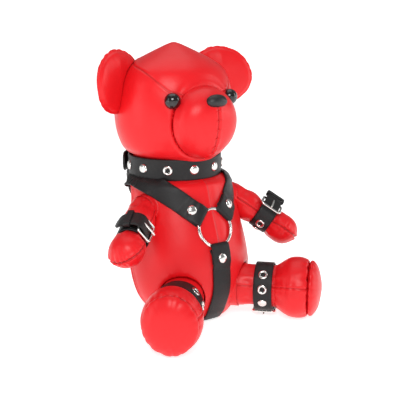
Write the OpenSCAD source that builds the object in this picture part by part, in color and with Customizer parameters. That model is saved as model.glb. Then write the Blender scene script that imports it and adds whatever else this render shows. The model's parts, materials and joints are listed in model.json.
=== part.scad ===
/* [Torso] */
// Largest radius of the stuffed torso, before it is widened and flattened
torso_r = 51; // [48:0.5:53]
// Radius of the torso at the shoulders, just under the collar
shoulder_r = 42; // [40:0.5:43]
// Distance along the torso to its widest ring
belly_at = 44; // [38:1:50]
// Angle that the torso leans back
lean = 11.5; // [10:0.5:12.5]
// Thickness of the sewn skin
skin_t = 1.2; // [0.8:0.1:1.6]

/* [Head] */
// Largest radius of the head
head_r = 51; // [48:0.5:53]
// Height of the top of the head
head_top_z = 235; // [230:1:240]
// Height of the widest ring of the head
head_mid_z = 175; // [172:1:178]
// Radius of the round muzzle
muzzle_r = 29.5; // [27:0.5:30]
// How far the muzzle stands out of the face
muzzle_h = 24; // [20:0.5:26]
// Radius of an ear
ear_r = 27; // [25:0.5:28]
// Thickness of an ear
ear_t = 17; // [12:0.5:19]
// Diameter of an eye bead
eye_d = 12.6; // [11:0.2:14]

/* [Limbs] */
// Radius of the hand end of an arm
hand_r = 14; // [13:0.5:15]
// Length of an arm from the shoulder's pivot to the tip of the hand
arm_len = 68; // [66:1:71]
// Radius of the rounded foot
foot_r = 27; // [25:0.5:27]
// Angle that the left arm hangs below level
arm_drop_left = 33; // [25:1:36]
// Angle that the right arm hangs below level
arm_drop_right = 22; // [18:1:36]
// Length of a leg from the hip's pivot to the sole
leg_len = 71; // [69:1:74]

/* [Straps] */
// Width of the collar and the harness straps
strap_w = 18; // [16:0.5:18]
// Width of the wrist and ankle cuffs
cuff_w = 16; // [14:0.5:16]
// Thickness of the strap leather
strap_t = 2; // [1.6:0.1:2]
// Diameter of a rivet's head
rivet_d = 8.4; // [7:0.2:9]
// Outer radius of a harness ring
ring_r = 17.5; // [16:0.5:18]
// Diameter of the wire that rings and buckles are bent from
wire_d = 2.8; // [2.4:0.1:3]

/* [Hidden] */

RED = "crimson";
BLACK = [0.08, 0.08, 0.08];
STEEL = "silver";
WADDING = "ivory";
$fn = 64;
EPS = 0.01;
BIG = 400;
SKIN_GAP = 0.2;      // between a skin and the stuffing inside it
SEAT_GAP = 0.3;      // between a strap and the skin that it lies on
JOINT_GAP = 0.4;     // between a limb's round root and its socket

// Places. The origin is on the floor under the seat; the bear faces -Y and its left is +X.
torso_foot = [0, -14, 0];
TORSO_WIDE = 1.06;
TORSO_FLAT = 0.93;
neck_y = 15.5;
collar_z = 131;
collar_in = 39;
collar_low = collar_z - strap_w / 2;
collar_high = collar_z + strap_w / 2;
neck_r = 36;
neck_split_z = 130.6;
NECK_GAP = 0.6;
shoulder_at = [47, -7, 98];
ARM_FORWARD = 43;    // angle that an arm points forward of straight out sideways
function arm_dir(drop) = [cos(drop) * cos(ARM_FORWARD), -cos(drop) * sin(ARM_FORWARD), -sin(drop)];
shoulder_ball_r = 12.8;
hip_at = [31, -40, foot_r];
leg_dir = [0.68, -0.733, 0];
hip_ball_r = 19.5;

ARM_SWING_DOWN = 8;
ARM_SWING_UP = 20;
LEG_SWING = 12;
SOCKET_H = 26;

function unit(v) = v / norm(v);
function lifted(dir, a) = [dir[0] * cos(a), dir[1] * cos(a), sin(a)];
function arm_drop(side) = side > 0 ? arm_drop_left : arm_drop_right;

// Places a shape whose own +Z is a limb's axis and whose own +X looks up.
module along(at, dir) {
    turn = atan2(dir[1], dir[0]);
    dip = acos(unit(dir)[2]);
    translate(at) rotate([0, 0, turn]) rotate([0, dip, 0]) rotate([0, 0, 180]) children();
}

module on_side(side) {
    if (side > 0) children();
    else mirror([1, 0, 0]) children();
}

// ---- stuffed bodies: each is a turned outline, made as an outer form that can be grown or shrunk ----

TORSO_LOW = -14;
TORSO_TOP = 138;
TORSO_STEP = 9.5;
BASE_SHARE = 0.56;
function torso_radius(s) = s < belly_at
    ? torso_r * (1 - (1 - BASE_SHARE) * pow((belly_at - s) / belly_at, 2.2))
    : shoulder_r + (torso_r - shoulder_r) * pow(0.5 + 0.5 * cos(180 * min(1, (s - belly_at) / 76)), 0.9);

module lean_frame() translate(torso_foot) rotate([-lean, 0, 0]) children();

module torso_solid(grow) {
    lean_frame() scale([TORSO_WIDE, TORSO_FLAT, 1]) rotate_extrude() polygon(concat(
        [[0, TORSO_LOW - grow]],
        [for (s = [TORSO_LOW : TORSO_STEP : TORSO_TOP]) [torso_radius(s) + grow, s]],
        [[0, TORSO_TOP]]));
}

// The torso is flat under the seat and necked in to pass up inside the collar.
module torso_form(grow) {
    intersection() {
        torso_solid(grow);
        union() {
            translate([-BIG / 2, -BIG / 2, -grow]) cube([BIG, BIG, collar_low - SEAT_GAP + 2 * grow]);
            translate([0, neck_y, -grow]) cylinder(r = neck_r + grow, h = neck_split_z + 2 * grow);
        }
    }
}

// A limb's socket, with room above and below for the limb to swing.
module shoulder_socket(side, grow) on_side(side) {
    translate(shoulder_at) sphere(r = shoulder_ball_r + grow);
    for (swing = [-ARM_SWING_DOWN, 0, ARM_SWING_UP])
        along(shoulder_at, arm_dir(arm_drop(side) - swing)) cylinder(r = ARM_UPPER_R + grow, h = SOCKET_H);
}

module hip_socket(side, grow) on_side(side) {
    translate(hip_at) sphere(r = hip_ball_r + grow);
    for (swing = [0, LEG_SWING / 2, LEG_SWING])
        along(hip_at, lifted(leg_dir, swing)) cylinder(r = LEG_CUFF_R + grow, h = SOCKET_H);
}

module limb_sockets(grow) for (side = [-1, 1]) {
    shoulder_socket(side, grow);
    hip_socket(side, grow);
}

// A shallow channel in the seat, so that the strap under it lies level with the floor.
module seat_channel(grow) {
    channel_w = strap_w + 1 + 2 * grow;
    translate([-channel_w / 2, -70, -EPS - grow]) cube([channel_w, 140, strap_t + SEAT_GAP + 2 * grow]);
}

module torso_skin() color(RED) difference() {
    torso_form(0);
    torso_form(-skin_t);
    limb_sockets(JOINT_GAP);
    seat_channel(0);
}

module torso_stuffing() color(WADDING) difference() {
    torso_form(-skin_t - SKIN_GAP);
    limb_sockets(JOINT_GAP + skin_t);
    seat_channel(skin_t);
}

HEAD_STEPS = 22;
HEAD_LOW_H = 48;
HEAD_LOW_POWER = 2.4;
HEAD_TOP_POWER = 2.6;
CROWN_SPREAD = 2.1;   // the crown narrows to its point by this much for each unit of height
head_ledge_z = collar_high + 3;     // clear of the collar's buckle and keeper
face_y = neck_y - 41;
muzzle_z = 171;
function rounded(t, power) = pow(max(0, 1 - pow(t, power)), 1 / power);
function head_radius(z) = z < head_mid_z
    ? head_r * rounded((head_mid_z - z) / HEAD_LOW_H, HEAD_LOW_POWER)
    : min(CROWN_SPREAD * (head_top_z - z),
        head_r * rounded((z - head_mid_z) / (head_top_z - head_mid_z), HEAD_TOP_POWER));

// Heights along the head crowd towards its top, where the outline turns fastest.
function head_z(i) = head_ledge_z + (head_top_z - head_ledge_z) * sin(90 * i / HEAD_STEPS);

module head_form(grow) {
    neck_low_z = neck_split_z + NECK_GAP - grow;
    difference() {
        translate([0, neck_y, 0]) rotate_extrude() polygon(concat(
            [[0, neck_low_z], [neck_r + grow, neck_low_z], [neck_r + grow, head_ledge_z - grow]],
            [for (i = [0 : HEAD_STEPS - 1])
                let (r = head_radius(head_z(i)) + grow)
                if (r > 1) [r, head_z(i) - (i == 0 ? grow : 0)]],
            [[0, head_top_z + grow]]));
        translate([0, face_y - grow, muzzle_z]) rotate([90, 0, 0]) cylinder(r = muzzle_r + 0.3 - grow, h = 60);
    }
}

module head_skin() color(RED) difference() {
    head_form(0);
    head_form(-skin_t);
    face_holes();
}

module head_stuffing() color(WADDING) difference() {
    head_form(-skin_t - SKIN_GAP);
    face_hardware_room();
}

MUZZLE_STEPS = 12;
MUZZLE_POWER = 2.3;
module muzzle_form(grow) {
    translate([0, face_y - 0.2, muzzle_z]) rotate([90, 0, 0]) rotate_extrude() polygon(concat(
        [[0, -grow]],
        [for (i = [0 : MUZZLE_STEPS - 1])
            let (t = sin(90 * i / MUZZLE_STEPS))
            [(muzzle_r + grow) * rounded(t, MUZZLE_POWER), i == 0 ? -grow : (muzzle_h + grow) * t]],
        [[0, muzzle_h + grow]]));
}

module muzzle_skin() color(RED) difference() {
    muzzle_form(0);
    muzzle_form(-skin_t);
    nose_shank(NOSE_SHANK_R + 0.1);
}

module muzzle_stuffing() color(WADDING) difference() {
    muzzle_form(-skin_t - SKIN_GAP);
    nose_washer_room();
}

EAR_STEPS = 8;
EAR_OUT = 52;
EAR_Y = 20;
ear_z = 206;
// A puffy disc with a thin sewn rim, cut to the side of the head.
module ear(side) color(RED) difference() {
    translate([side * EAR_OUT, EAR_Y, ear_z]) rotate([90, 0, 0]) rotate_extrude() polygon([
        for (i = [-EAR_STEPS : EAR_STEPS])
            let (t = sin(90 * i / EAR_STEPS))
            [ear_r * rounded(abs(t), 2), ear_t / 2 * t]]);
    head_form(SKIN_GAP);
}

module ear_left() ear(1);
module ear_right() ear(-1);

// ---- eyes and nose: beads on shanks, each held by a washer behind the skin ----

EYE_TURN = 35;        // angle from the middle of the face round to an eye
eye_z = 190;
EYE_SEAT = 1.2;       // depth to which a bead is pulled into the face
EYE_SHANK_R = 1.6;
EYE_SHANK_L = 9;
EYE_HOLE_L = 8;       // reach of the hole for a shank, in from the face
WASHER_R = 6;
WASHER_T = 1.5;
EYE_WASHER_R = 3.2;   // small enough to clear the muzzle's recess
EYE_WASHER_DEPTH = 3.1;    // from the skin's inner side to the washer
BEAD_RISE = 0.6;      // from the depth of its seat to the middle of a bead
BEAD_GAP = 0.7;       // under the flat back of a bead

module at_eye(side) translate([0, neck_y, eye_z]) rotate([0, 0, side * EYE_TURN]) rotate([90, 0, 0])
    translate([0, 0, head_radius(eye_z)]) children();

module eyes() color(BLACK) for (side = [-1, 1]) at_eye(side) union() {
    intersection() {
        translate([0, 0, BEAD_RISE - EYE_SEAT]) sphere(d = eye_d);
        translate([0, 0, BIG / 2 + BEAD_GAP]) cube([BIG, BIG, BIG], center = true);
    }
    translate([0, 0, -EYE_SHANK_L]) cylinder(r = EYE_SHANK_R, h = EYE_SHANK_L + 1);
}

module eye_washers() color("white") for (side = [-1, 1]) at_eye(side)
    translate([0, 0, -skin_t - SKIN_GAP - WASHER_T - EYE_WASHER_DEPTH]) difference() {
        cylinder(r = EYE_WASHER_R, h = WASHER_T);
        translate([0, 0, -1]) cylinder(r = EYE_SHANK_R + 0.05, h = WASHER_T + 2);
    }

module face_holes() for (side = [-1, 1]) at_eye(side)
    translate([0, 0, -EYE_HOLE_L]) cylinder(r = EYE_SHANK_R + 0.1, h = EYE_HOLE_L + 4);

module face_hardware_room() for (side = [-1, 1]) at_eye(side)
    translate([0, 0, -EYE_SHANK_L - 1]) cylinder(r = EYE_WASHER_R + 0.3, h = EYE_SHANK_L + 3);

NOSE_UP = 18;
NOSE_W = 19;
NOSE_H = 11.5;
NOSE_SHANK_R = 1.8;
NOSE_SHANK_L = 7;
NOSE_WASHER_DEPTH = 5;
NOSE_RISE = 1.3;      // of the flat back of the nose off the muzzle
nose_tilt = 33;       // the muzzle's surface looks up by this much at the nose
nose_out = muzzle_h * rounded(NOSE_UP / muzzle_r, MUZZLE_POWER);

module at_nose() translate([0, face_y - 0.2 - nose_out, muzzle_z + NOSE_UP]) rotate([90 - nose_tilt, 0, 0])
    children();

module nose_shank(r) at_nose() translate([0, 0, -NOSE_SHANK_L]) cylinder(r = r, h = NOSE_SHANK_L + 2);

// An oval button: two balls and the slab between them, flat behind.
module nose() color(BLACK) union() {
    at_nose() translate([0, 0, NOSE_RISE]) intersection() {
        hull() for (x = [-1, 1]) translate([x * (NOSE_W - NOSE_H) / 2, 0, 0])
            sphere(d = NOSE_H, $fn = 32);
        translate([0, 0, BIG / 2]) cube([BIG, BIG, BIG], center = true);
    }
    nose_shank(NOSE_SHANK_R);
}

module nose_washer() color("white") at_nose() translate([0, 0, -NOSE_WASHER_DEPTH]) difference() {
    cylinder(r = WASHER_R, h = WASHER_T);
    translate([0, 0, -1]) cylinder(r = NOSE_SHANK_R + 0.05, h = WASHER_T + 2);
}

module nose_washer_room() at_nose()
    translate([0, 0, -NOSE_SHANK_L - 1]) cylinder(r = WASHER_R + 0.3, h = NOSE_SHANK_L + 5);

// ---- limbs: the own +Z of each runs from the pivot to the tip ----

ARM_CUFF_AT = 34;
ARM_CUFF_R = 10.2;
ARM_UPPER_R = 13;
LEG_CUFF_AT = 22;
LEG_CUFF_R = 18.2;
LIMB_STEPS = 26;

// Eases from a to b as t goes from 0 to 1.
function ease(a, b, t) = a + (b - a) * (0.5 - 0.5 * cos(180 * max(0, min(1, t))));
function arm_radius(z) =
    z < 9 ? ARM_UPPER_R - 1.6
    : z < 17 ? ease(ARM_UPPER_R - 1.6, ARM_UPPER_R, (z - 9) / 6)
    : z < ARM_CUFF_AT ? ease(ARM_UPPER_R, ARM_CUFF_R, (z - 17) / (ARM_CUFF_AT - cuff_w / 2 - 17.5))
    : z < ARM_CUFF_AT + cuff_w / 2 + 0.5 ? ARM_CUFF_R
    : hand_r * rounded(abs(z - (arm_len - 14)) / 14, 2.2);
function leg_radius(z) =
    z < LEG_CUFF_AT + cuff_w / 2 + 0.5 ? LEG_CUFF_R
    : foot_r * rounded(abs(z - (leg_len - 20)) / 20.8, 2.4);

function limb_radius(kind, z) = kind == "arm" ? arm_radius(z) : leg_radius(z);

module limb_form(length, ball_r, grow, kind) {
    tip_r = max(0.5, limb_radius(kind, length) + grow);
    union() {
        sphere(r = ball_r + grow);
        rotate_extrude() polygon(concat(
            [[0, 0]],
            [for (i = [0 : LIMB_STEPS - 1])
                let (z = length * sin(90 * i / LIMB_STEPS), r = limb_radius(kind, z))
                if (z < length + grow - 0.1) [(i == 0 ? min(r, ball_r - 1) : r) + grow, z]],
            [[tip_r, length + grow], [0, length + grow]]));
    }
}

module arm_form(grow) limb_form(arm_len, shoulder_ball_r, grow, "arm");
module leg_form(grow) limb_form(leg_len, hip_ball_r, grow, "leg");

module on_arm(side) on_side(side)
    along(shoulder_at, arm_dir(arm_drop(side))) children();
module on_leg(side) on_side(side) along(hip_at, leg_dir) children();

module arm_skin(side) color(RED) on_arm(side) difference() {
    arm_form(0);
    arm_form(-skin_t);
}
module arm_stuffing(side) color(WADDING) on_arm(side) arm_form(-skin_t - SKIN_GAP);

SOLE_AT = leg_len - 12;
module beyond_sole(gap) translate([-BIG / 2, -BIG / 2, SOLE_AT + gap]) cube([BIG, BIG, BIG]);

module leg_skin(side) color(RED) on_leg(side) difference() {
    leg_form(0);
    leg_form(-skin_t);
    beyond_sole(0);
}
module leg_sole(side) color(RED) on_leg(side) intersection() {
    difference() {
        leg_form(0);
        leg_form(-skin_t);
    }
    beyond_sole(0.1);
}
module leg_stuffing(side) color(WADDING) on_leg(side) leg_form(-skin_t - SKIN_GAP);

module arm_left_skin() arm_skin(1);
module arm_left_stuffing() arm_stuffing(1);
module arm_right_skin() arm_skin(-1);
module arm_right_stuffing() arm_stuffing(-1);
module leg_left_skin() leg_skin(1);
module leg_left_sole() leg_sole(1);
module leg_left_stuffing() leg_stuffing(1);
module leg_right_skin() leg_skin(-1);
module leg_right_sole() leg_sole(-1);
module leg_right_stuffing() leg_stuffing(-1);

// ---- buckled bands: own +Z is the band's axis, the buckle sits at own +X ----

RIVET_SHANK_R = 1.2;
RIVET_H = 1.7;
EYELET_R = 4;
EYELET_HOLE_R = 2;
FIT = 0.1;
BUCKLE_HALF = 7;                 // from the buckle's middle to either of its long bars
bar_r = wire_d / 2 - 0.3;
PRONG_LOOP_R = bar_r + 0.9;
PRONG_W = 2.4;
TONGUE_T = 1.8;
BAR_GAP = 0.2;                   // between the buckle's bars and the leather over and under them
EDGE_INSET = 0.4;                // the loose end is this much narrower than the band at each edge

// Height of the buckle's bars above the band's axis, clear of the curved band under them.
function bar_x(in_r) = BAR_GAP + max(in_r + strap_t + bar_r,
    sqrt(pow(in_r + strap_t, 2) - pow(BUCKLE_HALF, 2)) + PRONG_LOOP_R);

module at_angle(a, r) rotate([0, 0, a]) translate([r, 0, 0]) rotate([0, 90, 0]) children();

module stud_holes(in_r, rivets, eyelets) {
    for (a = rivets) at_angle(a, in_r - 1) cylinder(r = RIVET_SHANK_R + FIT, h = strap_t + 3);
    for (a = eyelets) at_angle(a, in_r - 1) cylinder(r = EYELET_HOLE_R + 0.6 + FIT, h = strap_t + 3);
}

// Distance from the band's axis to the underside of its loose end, which passes over the buckle's bars.
function tongue_x(in_r) = bar_x(in_r) + bar_r + BAR_GAP;
function arc_angle(length, r) = length / r * 180 / PI;

// A loose end with a rounded tip that runs straight on from the buckle.
module straight_end(in_r, width, length) translate([tongue_x(in_r), 0, 0]) {
    tip_r = width / 2 - EDGE_INSET;
    translate([0, tip_r - length, -tip_r]) cube([TONGUE_T, length - tip_r - 2, 2 * tip_r]);
    translate([0, tip_r - length, 0]) rotate([0, 90, 0]) cylinder(r = tip_r, h = TONGUE_T);
}

// The same loose end, curved to follow the band.
module hugging_end(in_r, width, length) intersection() {
    tip_r = width / 2 - EDGE_INSET;
    tip_angle = -arc_angle(length - tip_r, tongue_x(in_r));
    difference() {
        cylinder(r = tongue_x(in_r) + TONGUE_T, h = 2 * tip_r, center = true, $fn = 96);
        cylinder(r = tongue_x(in_r), h = width, center = true, $fn = 96);
    }
    union() {
        linear_extrude(height = width, center = true)
            polygon([[0, 0], [BIG, -0.04 * BIG], [BIG * cos(tip_angle), BIG * sin(tip_angle)]]);
        at_angle(tip_angle, 0) cylinder(r = tip_r, h = BIG);
    }
}

// A loose end that runs straight over the buckle's bar and is then bent down round the band.
BENT_END = [[-50, 16.4], [-75, 15.4], [-100, 15], [-115, 15]];    // angle and radius along its underside
BENT_FLAT_END = -8.6;            // where the straight run over the bar stops and the bend begins
BENT_TIP_TURN = -84;             // angle of the middle of the rounded tip
BENT_KEEPER_TURN = -62;
BENT_KEEPER_R = 16.3;            // underside of the loose end where its keeper is
module bent_end(in_r, width) intersection() {
    tip_r = width / 2 - EDGE_INSET;
    under = concat([[tongue_x(in_r), -2], [tongue_x(in_r), BENT_FLAT_END]],
        [for (p = BENT_END) p[1] * [cos(p[0]), sin(p[0])]]);
    over = concat([for (i = [len(BENT_END) - 1 : -1 : 0])
            (BENT_END[i][1] + TONGUE_T) * [cos(BENT_END[i][0]), sin(BENT_END[i][0])]],
        [[tongue_x(in_r) + TONGUE_T, BENT_FLAT_END - 0.8], [tongue_x(in_r) + TONGUE_T, -2]]);
    linear_extrude(height = 2 * tip_r, center = true) polygon(concat(under, over));
    union() {
        linear_extrude(height = width, center = true)
            polygon([[0, 0], [BIG, -0.04 * BIG], [BIG, -BIG], [BIG * cos(BENT_TIP_TURN), BIG * sin(BENT_TIP_TURN)]]);
        at_angle(BENT_TIP_TURN, 0) cylinder(r = tip_r, h = BIG);
    }
}

// The band, its ramp up through the buckle and the loose end beyond.
module band_strap(in_r, width, tongue_l, rivets, eyelets, end = "straight") color(BLACK) difference() {
    flat_w = width - 2 * EDGE_INSET;
    union() {
        difference() {
            translate([0, 0, -width / 2]) cylinder(r = in_r + strap_t, h = width, $fn = 96);
            translate([0, 0, -width]) cylinder(r = in_r, h = 2 * width, $fn = 96);
            stud_holes(in_r, rivets, eyelets);
        }
        if (end == "hugging") hugging_end(in_r, width, tongue_l);
        else if (end == "bent") bent_end(in_r, width);
        else straight_end(in_r, width, tongue_l);
        hull() {
            translate([tongue_x(in_r), -3, -flat_w / 2]) cube([TONGUE_T, 1.2, flat_w]);
            translate([in_r + 0.6, 3.2, -flat_w / 2]) cube([1, 1.2, flat_w]);
        }
    }
    translate([in_r + strap_t + 0.02, -10.5, -PRONG_W / 2 - 0.4]) cube([BIG, 16.5, PRONG_W + 0.8]);
    translate([bar_x(in_r), BUCKLE_HALF, -width]) cylinder(r = bar_r + 0.25, h = 2 * width);
    if (end == "hugging") translate([bar_x(in_r), -BUCKLE_HALF, -width]) cylinder(r = bar_r + 0.25, h = 2 * width);
}

module band_studs(in_r, rivets, eyelets) color(STEEL) {
    for (a = rivets) at_angle(a, in_r + strap_t + 0.05) {
        intersection() {
            translate([0, 0, RIVET_H - rivet_d]) sphere(r = rivet_d, $fn = 48);
            cylinder(d = rivet_d, h = RIVET_H);
        }
        translate([0, 0, -strap_t]) cylinder(r = RIVET_SHANK_R, h = strap_t + 0.5);
    }
    for (a = eyelets) at_angle(a, in_r + strap_t + 0.05) difference() {
        union() {
            cylinder(r = EYELET_R, h = 0.7);
            translate([0, 0, -strap_t]) cylinder(r = EYELET_HOLE_R + 0.6, h = strap_t + 0.5);
        }
        translate([0, 0, -strap_t - 1]) cylinder(r = EYELET_HOLE_R, h = strap_t + 3);
    }
}

module band_buckle(in_r, width) color(STEEL) translate([bar_x(in_r), 0, 0]) {
    side_z = width / 2 + bar_r + 0.3;
    for (y = [-BUCKLE_HALF, BUCKLE_HALF]) translate([0, y, -side_z]) cylinder(r = bar_r, h = 2 * side_z);
    for (z = [-side_z, side_z]) translate([0, -BUCKLE_HALF, z]) rotate([-90, 0, 0])
        cylinder(r = bar_r, h = 2 * BUCKLE_HALF);
    for (y = [-BUCKLE_HALF, BUCKLE_HALF], z = [-side_z, side_z]) translate([0, y, z]) sphere(r = bar_r);
}

PRONG_R = 0.9;
module band_prong(in_r) color(STEEL) translate([bar_x(in_r), -BUCKLE_HALF, 0]) {
    rise = bar_r + PRONG_R + 0.1;
    tilt = atan2(rise, 2 * BUCKLE_HALF);
    difference() {
        union() {
            translate([0, 0, -PRONG_W / 2]) cylinder(r = PRONG_LOOP_R, h = PRONG_W);
            rotate([-90, 0, 0]) rotate([0, tilt, 0]) translate([0, 0, bar_r + 0.4])
                cylinder(r = PRONG_R, h = 2 * BUCKLE_HALF + 0.2);
        }
        translate([0, 0, -PRONG_W]) cylinder(r = bar_r + 0.06, h = 2 * PRONG_W);
    }
}

KEEPER_Y = -14;                  // from the buckle's middle to the keeper's, along the loose end
KEEPER_W = 5;
KEEPER_T = 1.2;
KEEPER_GAP = 0.15;
module band_keeper(in_r, width, end = "straight") color(BLACK) {
    top = (end == "bent" ? BENT_KEEPER_R : tongue_x(in_r)) + TONGUE_T + KEEPER_GAP;
    out_y = end == "straight" ? KEEPER_Y : 0;
    turn = end == "straight" ? 0 : end == "bent" ? BENT_KEEPER_TURN : arc_angle(KEEPER_Y, tongue_x(in_r));
    near_y = min(in_r - 2, -out_y - KEEPER_W / 2);
    low = sqrt(pow(in_r, 2) - pow(near_y, 2)) + 1;
    half = width / 2 + KEEPER_GAP;
    rotate([0, 0, turn])
        translate([0, out_y - KEEPER_W / 2, 0]) difference() {
            translate([low, 0, -half - KEEPER_T]) cube([top + KEEPER_T - low, KEEPER_W, 2 * (half + KEEPER_T)]);
            translate([low - 1, -1, -half]) cube([top - low + 1, KEEPER_W + 2, 2 * half]);
        }
}

// ---- collar ----

COLLAR_STUD_STEP = 32;
COLLAR_FRONT_STUD = 204;    // angle from the buckle to the stud nearest the middle of the throat
COLLAR_RIVETS = [for (i = [-4, -2, -1, 0, 2, 3]) COLLAR_FRONT_STUD + COLLAR_STUD_STEP * i];
COLLAR_EYELETS = [for (i = [-3, 1]) COLLAR_FRONT_STUD + COLLAR_STUD_STEP * i];
COLLAR_TONGUE = 34;
COLLAR_TURN = 104;    // puts the buckle behind the neck
module on_collar() translate([0, neck_y, collar_z]) rotate([0, 0, COLLAR_TURN]) mirror([0, 1, 0]) children();

module collar_strap() on_collar()
    band_strap(collar_in, strap_w, COLLAR_TONGUE, COLLAR_RIVETS, COLLAR_EYELETS, "hugging");
module collar_studs() on_collar() band_studs(collar_in, COLLAR_RIVETS, COLLAR_EYELETS);
module collar_buckle() on_collar() band_buckle(collar_in, strap_w);
module collar_prong() on_collar() band_prong(collar_in);
module collar_keeper() on_collar() band_keeper(collar_in, strap_w, "hugging");

// ---- wrist and ankle cuffs ----

wrist_in = ARM_CUFF_R + SEAT_GAP;
WRIST_RIVETS = [200];
WRIST_EYELETS = [100, 150];
WRIST_TONGUE = 27;
WRIST_TURN_LEFT = 10;
WRIST_TURN_RIGHT = 58;
function wrist_end(side) = side > 0 ? "straight" : "bent";
module on_wrist(side) on_arm(side) translate([0, 0, ARM_CUFF_AT])
    rotate([0, 0, side > 0 ? WRIST_TURN_LEFT : WRIST_TURN_RIGHT]) children();

module wrist_strap(side) on_wrist(side)
    band_strap(wrist_in, cuff_w, WRIST_TONGUE, WRIST_RIVETS, WRIST_EYELETS, wrist_end(side));
module wrist_studs(side) on_wrist(side) band_studs(wrist_in, WRIST_RIVETS, WRIST_EYELETS);
module wrist_buckle(side) on_wrist(side) band_buckle(wrist_in, cuff_w);
module wrist_prong(side) on_wrist(side) band_prong(wrist_in);
module wrist_keeper(side) on_wrist(side) band_keeper(wrist_in, cuff_w, wrist_end(side));

ankle_in = LEG_CUFF_R + SEAT_GAP;
ANKLE_RIVETS = [60];
ANKLE_EYELETS = [98, 134];
ANKLE_TONGUE = 30;
ANKLE_TURN = 180;     // puts the buckle under the ankle
module on_ankle(side) on_leg(side) translate([0, 0, LEG_CUFF_AT]) rotate([0, 0, ANKLE_TURN])
    mirror([0, 1, 0]) children();

module ankle_strap(side) on_ankle(side)
    band_strap(ankle_in, cuff_w, ANKLE_TONGUE, ANKLE_RIVETS, ANKLE_EYELETS);
module ankle_studs(side) on_ankle(side) band_studs(ankle_in, ANKLE_RIVETS, ANKLE_EYELETS);
module ankle_buckle(side) on_ankle(side) band_buckle(ankle_in, cuff_w);
module ankle_prong(side) on_ankle(side) band_prong(ankle_in);
module ankle_keeper(side) on_ankle(side) band_keeper(ankle_in, cuff_w);

module wrist_left_strap() wrist_strap(1);
module wrist_left_studs() wrist_studs(1);
module wrist_left_buckle() wrist_buckle(1);
module wrist_left_prong() wrist_prong(1);
module wrist_left_keeper() wrist_keeper(1);
module wrist_right_strap() wrist_strap(-1);
module wrist_right_studs() wrist_studs(-1);
module wrist_right_buckle() wrist_buckle(-1);
module wrist_right_prong() wrist_prong(-1);
module wrist_right_keeper() wrist_keeper(-1);
module ankle_left_strap() ankle_strap(1);
module ankle_left_studs() ankle_studs(1);
module ankle_left_buckle() ankle_buckle(1);
module ankle_left_prong() ankle_prong(1);
module ankle_left_keeper() ankle_keeper(1);
module ankle_right_strap() ankle_strap(-1);
module ankle_right_studs() ankle_studs(-1);
module ankle_right_buckle() ankle_buckle(-1);
module ankle_right_prong() ankle_prong(-1);
module ankle_right_keeper() ankle_keeper(-1);

// ---- harness: straps cut from a shell round the torso, each held to a ring by a riveted fold ----

ring_wire_r = wire_d / 2;
ring_mid_r = ring_r - ring_wire_r;
front_ring_at = [0, -44.2, 84];
front_ring_tilt = 20;
back_ring_at = [0, 48.6, 84];
STRAP_TURN = 47;      // angle of a shoulder strap from straight up, seen along the ring's axis
FOLD_FROM = 11;
FOLD_TO = 31;
RIVET_AT = 26;
FOLD_UNDER = 2.1;
FOLD_OVER = 2.2;

// The own +Z of each ring frame is the ring's axis pointing out of the torso, and its +Y is up.
module front_ring_frame() translate(front_ring_at) rotate([90 - front_ring_tilt, 0, 0]) children();
module back_ring_frame() translate(back_ring_at) rotate([90, 0, 180]) children();

module ring_wire(grow) rotate_extrude() translate([ring_mid_r, 0]) circle(r = ring_wire_r + grow, $fn = 32);

module front_ring() color(STEEL) front_ring_frame() ring_wire(0);
module back_ring() color(STEEL) back_ring_frame() ring_wire(0);

module rivet_hole() translate([0, RIVET_AT, -8]) cylinder(r = RIVET_SHANK_R + FIT, h = 16);

// A strap's end folded round the ring's wire.
module fold(turn) rotate([0, 0, turn]) translate([-strap_w / 2, FOLD_FROM, -FOLD_UNDER])
    cube([strap_w, FOLD_TO - FOLD_FROM, FOLD_UNDER + FOLD_OVER]);

module strap_shell() difference() {
    intersection() {
        torso_solid(SEAT_GAP + strap_t);
        translate([-BIG / 2, -BIG / 2, 0]) cube([BIG, BIG, collar_low - 0.4]);
    }
    torso_solid(SEAT_GAP);
}

// Room for the shoulder when the arm is at rest and when it is raised as far as it goes.
module raised_shoulder_room(side) {
    translate(shoulder_at) sphere(r = shoulder_ball_r + JOINT_GAP);
    for (swing = [0, ARM_SWING_UP])
        along(shoulder_at, arm_dir(arm_drop(side) - swing)) cylinder(r = ARM_UPPER_R + JOINT_GAP, h = SOCKET_H);
}

// A band of the shell round one shoulder, lying in a plane that slopes up and out from both rings.
SLOPE = 42;
SLOPE_Z = 84;
module shoulder_strap(side) color(BLACK) on_side(side) difference() {
    union() {
        intersection() {
            strap_shell();
            translate([0, 0, SLOPE_Z]) rotate([0, -SLOPE, 0])
                translate([26, -BIG / 2, -strap_w / 2]) cube([BIG, BIG, strap_w]);
        }
        front_ring_frame() fold(-STRAP_TURN);
        back_ring_frame() fold(STRAP_TURN);
    }
    front_ring_frame() { ring_wire(0.15); translate([0, 0, -FOLD_UNDER - EPS]) cylinder(r = 10, h = 20); }
    back_ring_frame() { ring_wire(0.15); translate([0, 0, -FOLD_UNDER - EPS]) cylinder(r = 10, h = 20); }
    torso_solid(SEAT_GAP / 2);
    raised_shoulder_room(side);
    front_ring_frame() rotate([0, 0, -STRAP_TURN]) rivet_hole();
    back_ring_frame() rotate([0, 0, STRAP_TURN]) rivet_hole();
}

module shoulder_strap_left() shoulder_strap(1);
module shoulder_strap_right() shoulder_strap(-1);

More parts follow.
